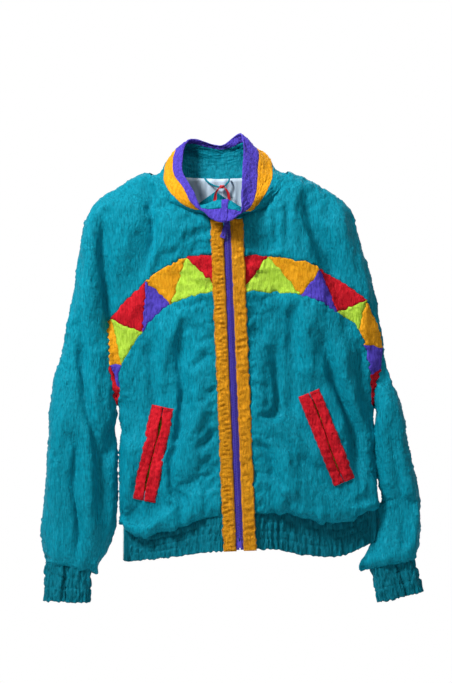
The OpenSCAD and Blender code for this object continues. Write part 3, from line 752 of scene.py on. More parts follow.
def nylon(name, lit, dark, crinkle=1.0):
    """Crinkled nylon: a fine vertical crinkle, sharper creases, a close weave and a soft silky gloss."""
    n = Nodes(name)
    streak = n.noise((420, 420, 60), 4, 0.62)
    crease = n.noise((95, 95, 38), 5, 0.7)
    weave = n.add("ShaderNodeTexWave", Vector=n.scaled((1, 1, 1)), Scale=620.0, Distortion=1.5, Detail=1.0)
    tone = n.ramp(streak, [(0.3, dark), (0.52, lit), (0.75, tuple(min(1, c * 1.16 + 0.01) for c in lit))])
    # painted shade: broad random patches darken the colour down to 0.84 of it, standing in for the shade in the
    # cloth's creases
    crease_shade_patches = n.ramp(n.noise((7, 7, 5), 3, 0.6), [(0.3, 0.84), (0.7, 1.0)])
    colour = n.mix(1.0, tone, crease_shade_patches, "MULTIPLY")
    lines = n.ramp(crease, [(0.40, 0.0), (0.485, 0.75), (0.50, 1.0), (0.515, 0.75), (0.60, 0.0)])
    normal = n.bump(weave.outputs["Fac"], 0.10, 0.0002)
    normal = n.bump(streak, 0.7 * crinkle, 0.0016, normal)
    normal = n.bump(lines, 0.6 * crinkle, 0.0018, normal)
    rough = n.ramp(streak, [(0.3, 0.62), (0.7, 0.46)])
    return n.finish(colour, normal, Roughness=rough, Specular_IOR_Level=0.08)


def plain_cloth(name, lit, dark, scale=900.0, rough=0.8):
    """A woven cloth with fine crossing threads and a little unevenness."""
    n = Nodes(name)
    across = n.add("ShaderNodeTexWave", Vector=n.scaled((1, 1, 1)), Scale=scale, Distortion=0.6)
    across.bands_direction = "X"
    down = n.add("ShaderNodeTexWave", Vector=n.scaled((1, 1, 1)), Scale=scale, Distortion=0.6)
    down.bands_direction = "Z"
    threads = n.mix(0.5, across.outputs["Color"], down.outputs["Color"])
    patches = n.noise((60, 60, 30), 4, 0.6)
    colour = n.mix(n.ramp(patches, [(0.3, 0.0), (0.7, 1.0)]), dark, lit)
    normal = n.bump(threads, 0.25, 0.0003)
    normal = n.bump(patches, 0.5, 0.0012, normal)
    return n.finish(colour, normal, Roughness=rough, Sheen_Weight=0.15)


def plastic(name, lit, dark, rough=0.34):
    """Moulded plastic with faint flow marks."""
    n = Nodes(name)
    marks = n.noise((500, 500, 500), 4, 0.6)
    colour = n.mix(n.ramp(marks, [(0.3, 0.0), (0.75, 1.0)]), dark, lit)
    return n.finish(colour, n.bump(marks, 0.2, 0.0001), Roughness=rough, Specular_IOR_Level=0.5)


TEAL = nylon("teal_nylon", srgb(0, 146, 170), srgb(0, 107, 126))
# painted shade: a darker copy of the teal nylon for the gathered hem and cuffs, standing in for the shade among
# their pleats
TEAL_SHADED = nylon("teal_nylon_painted_shade", srgb(0, 122, 142), srgb(0, 80, 95))
TEAL_LINING = nylon("teal_nylon_inside", srgb(0, 140, 162), srgb(0, 104, 124), 0.7)
COLOUR_NYLON = {
    "red": nylon("red_nylon", srgb(214, 26, 42), srgb(168, 12, 26)),
    "green": nylon("lime_nylon", srgb(186, 226, 72), srgb(150, 196, 40)),
    "orange": nylon("orange_nylon", srgb(246, 170, 28), srgb(216, 138, 14)),
    "purple": nylon("purple_nylon", srgb(88, 72, 196), srgb(60, 48, 150)),
}
PLACKET = nylon("orange_placket_nylon", srgb(240, 164, 30), srgb(204, 128, 14), 1.5)
LINING = plain_cloth("lining_taffeta", srgb(206, 222, 234), srgb(182, 204, 222), 1100.0, 0.75)
TAPE = plain_cloth("zip_tape_weave", srgb(96, 80, 200), srgb(76, 62, 170), 1500.0, 0.8)
ELASTIC = plain_cloth("elastic_knit", srgb(236, 236, 232), srgb(206, 206, 200), 700.0, 0.85)
RIBBON = plain_cloth("ribbon_satin", srgb(206, 24, 36), srgb(160, 10, 24), 1600.0, 0.4)
ZIP_PLASTIC = plastic("zip_plastic", srgb(96, 78, 204), srgb(74, 60, 176))
THREAD = {"orange": plain_cloth("orange_thread", srgb(214, 138, 24), srgb(160, 96, 10), 2500.0, 0.6),
          "red": plain_cloth("red_thread", srgb(176, 20, 34), srgb(120, 6, 20), 2500.0, 0.6)}

# ---- hang loop and ribbon
LOOP_PATH = [(-33, 13, -3), (-29, 9, -9), (-21, 8, -15), (-12, 7.5, -19), (-2, 7.5, -20.5),
             (5, 7.5, -18), (10, 8, -13), (13, 9, -9), (14, 13, -4)]
KNOT = np.array([0, 6, -20.0])


def sweep(path, radius, sides=12, flat=1.0):
    """Tube along a path of points in millimetres; radius may vary along it, and flat squashes its section."""
    path = np.asarray(path, float)
    n = len(path)
    r = np.broadcast_to(radius, (n,))[:, None, None]
    t = np.gradient(path, axis=0)
    t /= np.linalg.norm(t, axis=1)[:, None]
    a = np.cross(t, (0.0, 1.0, 0.01))
    a /= np.linalg.norm(a, axis=1)[:, None]
    b = np.cross(t, a)
    angle = np.linspace(0, 2 * math.pi, sides, endpoint=False)[None, :, None]
    points = (path[:, None] + r * (np.cos(angle) * a[:, None] + flat * np.sin(angle) * b[:, None])).reshape(-1, 3)
    ends = [tuple(range(sides))[::-1], tuple(range((n - 1) * sides, n * sides))]
    return points, grid_faces(n, sides, True) + ends


def build_loop():
    path = along(LOOP_PATH, np.linspace(0, 1, 90))
    ridge = 1.7 + 0.08 * np.sin(np.linspace(0, 160, 90))
    points, faces = sweep(path, ridge, 16)
    loop = make("hang_loop_cord", points, faces, TEAL, "shell_teal", "hang_loop")
    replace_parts(loop, "hang_loop")
    turns = np.linspace(0, 2 * math.pi * 2.1, 60)
    wrap = KNOT + np.stack([3.4 * np.cos(turns) * (1 + 0.1 * np.sin(3 * turns)), 0.5 + 3.4 * np.sin(turns),
                            1.6 * (turns / 6.5 - 1) + 1.8 * np.sin(turns * 0.5)], 1)
    parts = [sweep(wrap, 2.1, 10, 0.7)]
    rows, cols = 40, 5
    t = np.linspace(0, 1, rows)
    width = 1.9 + 1.9 * t**2
    for s in (-1, 1):
        tail = along([(s * 1.0, -3.2, -1), (s * 6.5, -5.2, -4), (s * 11.5, -5, -12), (s * 13, -4.2, -21),
                      (s * 14.8, -3.6, -31)], t) + KNOT
        twist = 0.5 * np.sin(t * 5 + s)
        across = np.stack([np.cos(twist), np.sin(twist) * 0.8, 0 * t], 1)
        front = np.stack([tail + across * (w * width)[:, None] + np.array([0, -0.35 * (1 - w * w), 0])
                          for w in np.linspace(-1, 1, cols)], 1).reshape(-1, 3)
        parts.append((np.concatenate([front, front + (0, 0.45, 0)]), two_leaves(rows, cols)))
    points, faces = merged(parts)
    ribbon = make("hang_ribbon_knot", points, faces, RIBBON, "ribbon", "hang_loop")
    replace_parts(ribbon, "hang_ribbon")


build_loop()


# ---- the shell: cloth simulation, then its pieces
SPACING = 7.0
GROWTH = 0.05                            # how much bigger than its hung shape the cloth is
FRAMES = 22
REACH = 10.0                             # the furthest that the simulation may move a point, in millimetres


def pin_weights(p, w, s):
    x, z = w[:, 0], w[:, 1]
    in_torso = np.where(s == FRONT, on_torso(x, z, FRONT), on_torso(x, z, BACK))
    pin = np.full(len(p), 0.03)
    for face in (FRONT, BACK):
        here = s == face
        pin[here & in_torso & (z < roll_end(x, face) + 3)] = 1
        pin[here & in_torso] = np.maximum(pin, smoothstep((roll_start(x, face) + 6 - z) / 25) * 0.5)[here & in_torso]
    pin[~in_torso & (z < np.where(x < 0, sleeve_end(0, x), sleeve_end(1, x)) + 6)] = 1
    pin[(z > -40) & (np.abs(p[:, 1]) < 9)] = 1
    centre = np.abs(x - zip_x(z))
    pin[(s == FRONT) & (centre < TAPE_W + PLACKET_W - 2) & in_torso] = 1
    for k in (0, 1):
        for face, points in ((FRONT, NECK_FRONT[k]), (BACK, NECK_BACK[k])):
            tree = tree_of(neck_line(points, k))
            for i in np.nonzero((s == face) & (z > -110))[0]:
                if tree.find((x[i], z[i], 0))[2] < 9:
                    pin[i] = 1
    return pin


def simulate(p, f, pin):
    """Hangs the cloth, cut a little too big, from its pinned edges, and gives the points' new places."""
    cloth = make("hanging_cloth", p, f, None, None)
    group = cloth.vertex_groups.new(name="pin")
    for value in np.unique(np.round(pin, 2)):
        group.add(np.nonzero(np.round(pin, 2) == value)[0].tolist(), float(value), "REPLACE")
    m = cloth.modifiers.new("cloth", "CLOTH")
    for key, value in dict(quality=6, mass=0.12, air_damping=2.0, tension_stiffness=18, compression_stiffness=18,
                           shear_stiffness=6, bending_stiffness=0.35, tension_damping=10, compression_damping=10,
                           vertex_group_mass="pin", pin_stiffness=1.0, shrink_min=-GROWTH).items():
        setattr(m.settings, key, value)
    m.collision_settings.use_collision = False
    m.settings.effector_weights.gravity = 0.3
    m.point_cache.frame_start, m.point_cache.frame_end = 1, FRAMES
    scene = bpy.context.scene
    for i in range(1, FRAMES + 1):
        scene.frame_set(i)
    graph = bpy.context.evaluated_depsgraph_get()
    moved = vectors(cloth.evaluated_get(graph).to_mesh(), "co")
    bpy.data.objects.remove(cloth)
    scene.frame_set(1)
    return moved / MM


def relaxed(p, f, fixed, rounds=6):
    """Evens out sharp steps by moving every free point towards the mean of its neighbours."""
    edges = np.concatenate([f[:, [0, 1]], f[:, [1, 2]], f[:, [2, 0]]])
    count = np.bincount(edges.ravel(), minlength=len(p))[:, None] + 1e-9
    p = p.copy()
    for _ in range(rounds):
        total = np.zeros_like(p)
        np.add.at(total, edges[:, 0], p[edges[:, 1]])
        np.add.at(total, edges[:, 1], p[edges[:, 0]])
        p = np.where(fixed[:, None] | (count < 1), p, p + 0.5 * (total / count - p))
    return p


def give_to_sleeves(w, f, ids):
    """Cloth beyond the edge of the body belongs to the sleeve, whichever panel's ring it falls in."""
    centre = w[f].mean(1)
    for name, kind, face in (("front_panel_right", "front", FRONT), ("front_panel_left", "front", FRONT),
                             ("back_panel", "back", BACK)):
        astray = (ids == region(name)) & ~on_torso(centre[:, 0], centre[:, 1], face)
        for k, side in enumerate(SIDES):
            ids[astray & ((centre[:, 0] > 0) == bool(k))] = region(f"yoke_{kind}_{side}")


def seam_distance(q, faces, ids):
    """How far each point is from the nearest seam between two regions."""
    owner = np.full(len(q), -1)
    on_seam = np.zeros(len(q), bool)
    for k in range(4):
        v = faces[:, k]
        on_seam[v[(owner[v] >= 0) & (owner[v] != ids)]] = True
        owner[v] = ids
    for k in range(4):
        on_seam[faces[:, k]] |= owner[faces[:, k]] != ids
    tree = tree_of(q[on_seam])
    return np.array([tree.find(v)[2] for v in q])


def build_shell():
    """Points, faces and each face's region of the whole shell, hung, simulated and crinkled."""
    p, w, f, ids, s = shell_mesh(SPACING)
    give_to_sleeves(w, f, ids)
    p = relaxed(p, f, np.abs(p[:, 1]) < 2)
    shape = np.zeros(len(p))
    for face in (FRONT, BACK):
        here = s == face
        shape[here] = fold_height(w[here], face) + gathers(w[here], face)
    pin = pin_weights(p, w, s)
    base = p + normals_of(p, f) * (shape * (1 - 0.85 * (pin > 0.9)))[:, None]
    moved = simulate(base, f, pin) - base
    size = np.linalg.norm(moved, axis=1)
    base = base + moved * (REACH * np.tanh(size / REACH) / (size + 1e-9))[:, None]
    whole = make("shell", base, f, None, None)
    for _ in REGIONS:
        whole.data.materials.append(None)
    whole.data.polygons.foreach_set("material_index", ids)
    smooth = whole.modifiers.new("smooth", "SUBSURF")
    smooth.levels = smooth.render_levels = 1
    mesh = bake(whole).data
    q, normal = vectors(mesh, "co") / MM, vectors(mesh, "normal")
    ids = np.empty(len(mesh.polygons), int)
    mesh.polygons.foreach_get("material_index", ids)
    faces = np.array([tuple(g.vertices) for g in mesh.polygons])
    bpy.data.objects.remove(whole)
    # a seam's stitching pulls the cloth in along it
    gap = seam_distance(q, faces, ids)
    pull = -0.9 * np.exp(-(gap / 2.2) ** 2) + 0.35 * np.exp(-((gap - 6) / 3) ** 2)
    crinkle = 0.9 * creases(q, (26, 26, 80), 5) + 0.7 * creases(q, (15, 15, 40), 6) \
        + 0.3 * field(q, (9, 9, 30), 7) + 0.8 * field(q, (34, 34, 120), 9)
    pucker = 0.8 * np.exp(-gap / 9) * field(q, (12, 12, 12), 8)
    return q + normal * (pull + crinkle + pucker)[:, None], faces, ids


shell_points, shell_faces, shell_ids = build_shell()
front_faces = [tuple(g) for g, i in zip(shell_faces, shell_ids) if "back" not in REGIONS[i]]
front_tree = BVHTree.FromPolygons((shell_points * MM).tolist(), [list(map(int, g)) for g in front_faces])

POCKET_AT = ((-129, -526), (197, -495))
POCKET_LEAN = (math.radians(11.4), math.radians(-22))
WELT_LENGTH, LIP_W = 181.0, 21.0
SLIT_HALF_WIDTH, SLIT_HALF_LENGTH = 4.2, 74   # the hole cut in the front behind the lips
SHELL_THICKNESS = 0.7


def pocket_point(k, u, v):
    a = POCKET_LEAN[k]
    return (POCKET_AT[k][0] + u * math.cos(a) + v * math.sin(a),
            POCKET_AT[k][1] + v * math.cos(a) - u * math.sin(a))


def pocket_local(k, x, z):
    a = POCKET_LEAN[k]
    dx, dz = x - POCKET_AT[k][0], z - POCKET_AT[k][1]
    return dx * math.cos(a) - dz * math.sin(a), dx * math.sin(a) + dz * math.cos(a)


def slit_bend(v):
    """How far the pocket's slit wanders from its straight line at v along it."""
    return 2.2 * np.sin(np.asarray(v) / (WELT_LENGTH / 2) * math.pi * 0.9)


def shell_pieces():
    replaced = {}
    for k, side in enumerate(SIDES):
        replaced["yoke_front_" + side] = ("front_yoke_" + side, "sleeve_front_" + side)
        replaced["yoke_back_" + side] = ("back_yoke_" + side, "sleeve_back_" + side)
        replaced["front_panel_" + side] = ("front_panel_" + side,)
        for c in BAND_COLOURS:
            replaced[f"chest_band_{side}_{c}"] = (f"chest_band_{side}_{c}",)
    replaced["back_panel"] = ("back_panel",)
    for number, name in enumerate(REGIONS):
        mine = shell_faces[shell_ids == number]
        side = next((k for k in (0, 1) if SIDES[k] in name), None)
        if name.startswith("front_panel"):
            centre = shell_points[mine].mean(1)
            u, v = pocket_local(side, centre[:, 0], centre[:, 2])
            mine = mine[~((np.abs(u - slit_bend(v)) < SLIT_HALF_WIDTH) & (np.abs(v) < SLIT_HALF_LENGTH)
                          & (centre[:, 1] < 0))]
        used, index = np.unique(mine, return_inverse=True)
        colour = name.rsplit("_", 1)[1] if name.startswith("chest") else None
        material = COLOUR_NYLON[colour] if colour else TEAL
        piece = make("shell_" + name, shell_points[used], index.reshape(mine.shape), material,
                     "shell_" + (colour or "teal"))
        thicken(piece, SHELL_THICKNESS)
        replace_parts(piece, *replaced[name])
        if name.startswith("yoke"):
            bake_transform(piece)
        else:
            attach(piece, "jacket")


shell_pieces()


def on_front(x, z, out=0.0, soften=0.0):
    """Point on the simulated front at (x, z), moved out of it, with the surface's normal."""
    total, normal, count = Vector((0, 0, 0)), Vector((0, 0, 0)), 0
    offsets = [(0, 0)] if not soften else [(a * soften, b * soften) for a in (-1, 0, 1) for b in (-1, 0, 1)]
    for dx, dz in offsets:
        hit, n, _, _ = front_tree.ray_cast(Vector(((x + dx) * MM, -0.3, (z + dz) * MM)), Vector((0, 1, 0)))
        if hit is not None:
            total += Vector((x * MM, hit.y, z * MM))
            normal += n if n.y < 0 else -n
            count += 1
    if not count:
        y = -float(depth(np.array([x]), np.array([z]), FRONT)[0])
        return np.array([x, y, z]), np.array([0, -1.0, 0])
    p, n = np.array(total / count) / MM, np.array(normal.normalized())
    return p + n * out, n


def stitches(name, lines, material, slot, pitch=3.4, length=2.3):
    """Rows of sewing thread: each line is a list of (point, normal) in millimetres."""
    points, faces = [], []
    for line in lines:
        p, n = (np.array(values) for values in zip(*line))
        run = run_along(p)
        for s in np.arange(pitch / 2, run[-1] - length, pitch):
            a, b, up = at_run(p, run, s), at_run(p, run, s + length), at_run(n, run, s)
            side = np.cross((b - a) / (np.linalg.norm(b - a) + 1e-9), up)
            side /= np.linalg.norm(side) + 1e-9
            base = len(points)
            for t, r in ((0, 0.12), (0.2, 0.3), (0.8, 0.3), (1, 0.12)):
                c = a + (b - a) * t + up * (0.05 if t in (0, 1) else 0.25)
                points.extend([c + side * r, c + up * r, c - side * r, c - up * r])
            faces.extend(tuple(base + i for i in g) for g in
                         grid_faces(4, 4, True) + [(3, 2, 1, 0), (12, 13, 14, 15)])
    return make(name, points, faces, material, slot, "jacket")


# ---- placket and zip
def zip_space(x, y, z):
    """Points of the zip's own frame (x to the wearer's right, y inwards, z down its length) in the part's."""
    x, y, z = np.broadcast_arrays(np.asarray(x, float), y, z)
    c = 1 / math.hypot(1, ZIP_TAN)
    sn = ZIP_TAN * c
    return np.stack([ZIP_TOP[0] - c * x + sn * z, ZIP_Y + y, ZIP_TOP[1] - sn * x - c * z], -1)


def build_placket(k):
    s = 1 if k == 0 else -1
    rows, cols = 420, 15
    z = np.linspace(-12, ZIP_LENGTH + 8, rows)
    u = np.linspace(0, 1, cols)
    zz, uu = np.meshgrid(z, u, indexing="ij")
    flat = np.stack([uu.ravel() * PLACKET_W, zz.ravel()], 1)
    down = np.stack([z, 0 * z], 1)
    edge_wave = 0.7 * field(down, (26, 50), 31 + k) + 0.4 * field(down, (9, 50), 33 + k)
    x = TAPE_W + uu * PLACKET_W + uu**3 * edge_wave[:, None] - (1 - uu) ** 3 * 0.4 * edge_wave[::-1, None]
    pucker = 0.95 * field(flat * (0.55, 1.0), (16, 12), 35 + k) + 0.8 * creases(flat * (0.5, 1), (18, 12), 37 + k)
    hold = np.sin(math.pi * np.clip(uu, 0.02, 0.98)) ** 0.6
    rows_of_stitching = 1 - 0.65 * np.exp(-((uu - 0.12) / 0.05) ** 2) - 0.65 * np.exp(-((uu - 0.9) / 0.05) ** 2)
    y = -1.0 - 1.5 * hold - pucker.reshape(uu.shape) * (0.35 + 0.65 * hold) * rows_of_stitching
    y = y + 2.6 * np.clip((uu - 0.93) / 0.07, 0, 1) ** 2 + 2.0 * np.clip((0.05 - uu) / 0.05, 0, 1) ** 2
    points = zip_space(s * x, y, zz).reshape(-1, 3)
    faces = flip_towards(points, grid_faces(rows, cols), (0, -1, 0))
    piece = make("placket_strip_" + SIDES[k], points, faces, PLACKET, "shell_orange", "jacket")
    thicken(piece, 1.0)
    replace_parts(piece, "placket_" + SIDES[k])
    lines = []
    for at in (0.12, 0.9):
        j = int(round(at * (cols - 1)))
        lines.append([(points[i * cols + j] + (0, -0.15, 0), np.array([0, -1.0, 0])) for i in range(0, rows, 3)])
    stitches("placket_stitching_" + SIDES[k], lines, THREAD["orange"], "shell_orange")


def build_teeth(k):
    s = 1 if k == 0 else -1
    pitch = 4.8
    count = int((ZIP_LENGTH - 20) / pitch)
    points, faces = [], []
    outline = [(4.3, 0.95), (2.2, 0.8), (0.9, 0.62), (-0.2, 0.62), (-1.1, 1.02), (-1.5, 0.7)]
    profile = outline + [(x, -w) for x, w in reversed(outline)]
    m = len(profile)
    tooth = grid_faces(3, m, True) + [tuple(range(2 * m, 3 * m)), tuple(range(m))[::-1]]
    for i in range(count):
        z0 = 8 + (i + 0.5 * k) * pitch
        faces.extend(tuple(len(points) + j for j in g) for g in tooth)
        for y, inset in ((1.9, 0.0), (0.5, 0.0), (0.0, 0.28)):
            for x, w in profile:
                points.append(zip_space(s * (x - inset * np.sign(x - 1.4)), y, z0 + w * (1 - inset)).tolist())
    if s < 0:
        faces = [f[::-1] for f in faces]
    piece = make("zip_teeth_row_" + SIDES[k], points, faces, ZIP_PLASTIC, "zip_plastic", "jacket", smooth=False)
    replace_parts(piece, "zip_teeth_" + SIDES[k])


def rounded_copy(node, name, body, radius):
    """The CAD piece in the zip's plastic, with its edges rounded."""
    mesh = frame["nodes"][node].data.copy()
    obj = bpy.data.objects.new(name, mesh)
    bpy.context.collection.objects.link(obj)
    mesh.materials.clear()
    mesh.materials.append(ZIP_PLASTIC)
    weld = obj.modifiers.new("weld", "WELD")
    weld.merge_threshold = 1e-6
    flat = obj.modifiers.new("flat", "DECIMATE")
    flat.decimate_type, flat.angle_limit = "DISSOLVE", math.radians(3)
    bevel = obj.modifiers.new("edges", "BEVEL")
    bevel.width, bevel.segments, bevel.angle_limit = radius * MM, 3, math.radians(38)
    bevel.use_clamp_overlap = True
    bake(obj)
    obj.data.polygons.foreach_set("use_smooth", [True] * len(obj.data.polygons))
    obj.data.set_sharp_from_angle(angle=math.radians(48))
    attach(obj, body)
    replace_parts(obj, node)


for side_number in (0, 1):
    build_placket(side_number)
    build_teeth(side_number)
rounded_copy("zip_slider", "zip_slider_body", "slider", 0.5)
rounded_copy("zip_pull_tab", "zip_pull", "pull_tab", 0.35)


# ---- pockets
def welt_lips(k):
    """The two lips of a pocket's welt on the simulated front: (points, faces) of each, their normal and the
    lines of stitching."""
    rows, cols = 90, 16
    h = WELT_LENGTH / 2
    v = np.linspace(-h, h, rows)
    across = (-24, -12, 0, 12, 24)
    base_y = np.array([[on_front(*pocket_point(k, u, v[i]), 0, 4)[0][1] for u in across] for i in range(0, rows, 3)])
    for _ in range(3):
        padded_y = np.pad(base_y, ((1, 1), (0, 0)), mode="edge")
        base_y = sum(share * padded_y[a:a + len(base_y)] for a, share in enumerate((0.25, 0.5, 0.25)))

    def surface_y(u, at):
        return float(np.interp(u, across, at_run(base_y, v[::3], at)))
    out = np.array([math.sin(-0.35 if k == 0 else 0.3), -1.0, 0.0])
    out /= np.linalg.norm(out)
    lips, lines = [], []
    for s in (-1, 1):
        pts = []
        for along_slit in v:
            gape = 1.7 * math.exp(-((along_slit - 52) / 16) ** 2) + 1.2 * math.exp(-((along_slit + 46) / 18) ** 2)
            gap = 0.5 + gape * (1 if k == 0 else 0.25)
            centre = float(slit_bend(along_slit))
            for t in (j / (cols - 1) for j in range(cols)):
                u = centre * (1 - t) + s * (gap + t * LIP_W)
                edge = 0.5 * math.sin(along_slit * 0.42 + s) * t + 0.25 * math.sin(along_slit * 1.1) * t
                x, z = pocket_point(k, u + s * edge, along_slit)
                crown = 1.0 + 1.5 * math.sin(math.pi * min(1, t * 1.02)) ** 0.7
                crown -= 1.6 * max(0, (t - 0.94) / 0.06) ** 2 + 1.2 * max(0, (0.05 - t) / 0.05) ** 2
                crown *= 1 - 0.55 * max(0, (abs(along_slit) / h - 0.93) / 0.07) ** 2
                pts.append(np.array([x, surface_y(u, along_slit), z]) + out * (crown + 1.3))
        pts = np.array(pts)
        wrinkle = 0.9 * field(pts, (24, 24, 16), 51 + k) + 0.9 * creases(pts, (18, 18, 18), 53 + k)
        pts = pts + out * wrinkle[:, None]
        lips.append((pts, flip_towards(pts, grid_faces(rows, cols), (0, -1, 0))))
        thread = pts.reshape(rows, cols, 3) + out * 0.25
        lines.append([(q, out) for q in thread[1:-1:2, cols - 2]])
        lines.extend([(q, out) for q in thread[i, :-1]] for i in (2, rows - 3))
    return lips, lines


def build_pocket(k):
    lips, lines = welt_lips(k)
    welts = make("pocket_lips_" + SIDES[k], *merged(lips), COLOUR_NYLON["red"], "shell_red", "jacket")
    thicken(welts, 0.9)
    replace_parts(welts, "pocket_welts_" + SIDES[k])
    stitches("pocket_stitching_" + SIDES[k], lines, THREAD["red"], "shell_red", 3.0, 2.0)
    # the bag: a front and a back leaf joined round their edge, behind the slit
    rows, cols = 36, 22
    pts = []
    for leaf in (0, 1):
        for i in range(rows):
            for j in range(cols):
                x, z = pocket_point(k, (-36, -46)[k] + 82 * j / (cols - 1),
                                    -WELT_LENGTH / 2 - 2 + (WELT_LENGTH - 4) * i / (rows - 1))
                deep = max(on_front(x + dx, z + dz)[0][1]
                           for dx, dz in ((0, 0), (11, 0), (-11, 0), (0, 11), (0, -11)))
                puff = math.sin(math.pi * i / (rows - 1)) * math.sin(math.pi * j / (cols - 1))
                pts.append((x, deep + 2.2 + (0.6 + 3.0 * puff) * leaf, z))
    bag = make("pocket_pouch_" + SIDES[k], pts, two_leaves(rows, cols), COLOUR_NYLON["green"], "shell_green",
               "jacket")
    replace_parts(bag, "pocket_bag_" + SIDES[k])


for side_number in (0, 1):
    build_pocket(side_number)


# ---- gathered hem and cuffs
def casing(top, low, outward, name, body, node, rows_of_stitching, thick, seed, closed=False, gather=1.0):
    """An elastic casing between two lines: cloth gathered along its length, pinched at each row of stitching,
    folded over its lower edge and up again inside."""
    n = len(top)
    run = run_along(low)
    if closed:
        total = run[-1] + np.linalg.norm(low[0] - low[-1])
        angle, radius = run / total * 2 * math.pi, total / (2 * math.pi)
        around = np.stack([radius * np.cos(angle), radius * np.sin(angle)], 1)
    else:
        around = np.stack([run, 0 * run], 1)
    height = float(np.linalg.norm(top - low, axis=1).mean())
    lines = []
    for t in np.linspace(0, 1, 34):
        pinch = 1.0
        for r in range(rows_of_stitching):
            at = 0.04 + r * 0.9 / rows_of_stitching
            pinch *= 1 - 0.72 * math.exp(-(((t - at) * height) / 2.3) ** 2)
        band = int(t * rows_of_stitching * 0.999)
        flat = np.concatenate([around, np.full((n, 1), t * height * 0.55)], 1)
        pleat = 0.75 * field(flat, (11, 11, 60), 61 + seed) + 0.5 * field(flat, (6.5, 6.5, 18), 63 + seed + band)
        puff = np.maximum(1.5 * pinch + 1.9 * gather * pleat * (0.4 + 0.6 * pinch), -0.7)
        sag = 0.9 * math.exp(-((1 - t) * height / 4) ** 2) * field(flat[:, :2], (14, 14), 67 + seed)
        lines.append(top + (low - top) * t + outward * puff[:, None] + np.stack([0 * sag, 0 * sag, sag], 1))
    lines.append(lines[-1] - outward * (thick * 0.5) + (0, 0, -0.8))
    lines.extend(top + (low - top) * t - outward * thick for t in (0.97, 0.8, 0.6, 0.4, 0.2, 0.03))
    points = np.concatenate(lines)
    m = len(lines)
    faces = grid_faces(m, n, closed)
    last = (m - 1) * n
    faces += [(last + j, last + (j + 1) % n, (j + 1) % n, j) for j in range(n if closed else n - 1)]
    if not closed:
        faces += [tuple(i * n for i in range(m)), tuple(i * n + n - 1 for i in range(m))[::-1]]
    a, b, c = (points[[f[i] for f in faces[:n - 1]]] for i in (0, 1, 2))
    if (np.cross(b - a, c - a) * outward[:n - 1]).sum() < 0:
        faces = [f[::-1] for f in faces]
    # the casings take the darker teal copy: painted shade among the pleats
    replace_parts(make(name, points, faces, TEAL_SHADED, "shell_teal", body), node)


def horizontal_normals(line, closed=False):
    t = np.roll(line, -1, 0) - np.roll(line, 1, 0) if closed else np.gradient(line, axis=0)
    n = np.stack([t[:, 1], -t[:, 0], 0 * t[:, 0]], 1)
    n /= np.linalg.norm(n, axis=1)[:, None]
    return n if (n * (line - line.mean(0))).sum() >= 0 else -n


def hem_strip(x0, x1, face, steps):
    x = x0 + (x1 - x0) * (1 - np.cos(np.linspace(0, math.pi, steps))) / 2
    top = hung(np.stack([x, roll_end(x, face)], 1), face)
    low = top.copy()
    low[:, 2] = HEM_Z(top[:, 0])
    return top, low


def build_hem():
    edges = [float(inner_line(k)[-1, 0]) for k in (0, 1)]
    elastic_top, elastic_low = [], []
    parts = [("hem_front_right", float(placket_edge(0, -700)) - 5, edges[0], FRONT, 150),
             ("hem_back", edges[0], edges[1], BACK, 330),
             ("hem_front_left", edges[1], float(placket_edge(1, -700)) + 5, FRONT, 170)]
    for number, (node, x0, x1, face, steps) in enumerate(parts):
        top, low = hem_strip(x0, x1, face, steps)
        n = horizontal_normals(np.stack([top[:, 0], top[:, 1], 0 * top[:, 2]], 1))
        side = -1 if face == FRONT else 1
        if (n[:, 1] * side).sum() < 0:
            n = -n
        casing(top, low, n, "casing_" + node, "jacket", node, 4, 3.4, 10 * number)
        elastic_top.append(top - n * 2.4 + (0, 0, -4))
        elastic_low.append(low - n * 2.4 + (0, 0, 4))
    top, low = np.concatenate(elastic_top)[::2], np.concatenate(elastic_low)[::2]
    n = len(top)
    inner = horizontal_normals(top * (1, 1, 0)) * 0.6
    grid = np.concatenate([top, low, low - inner, top - inner])
    faces = grid_faces(4, n) + [(3 * n + j, 3 * n + j + 1, j + 1, j) for j in range(n - 1)] \
        + [(0, n, 2 * n, 3 * n), (4 * n - 1, 3 * n - 1, 2 * n - 1, n - 1)]
    piece = make("hem_elastic_band", grid, faces, ELASTIC, "elastic", "jacket")
    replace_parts(piece, "hem_elastic")


CUFF_AT = ((-292, -4, -744), (324, 4, -738))
CUFF_TILT = (math.radians(2), math.radians(-14))
CUFF_W, CUFF_D, CUFF_H = 84.0, 42.0, 62.0
CUFF_TUCK = 9.0                          # how far a cuff reaches up inside its sleeve


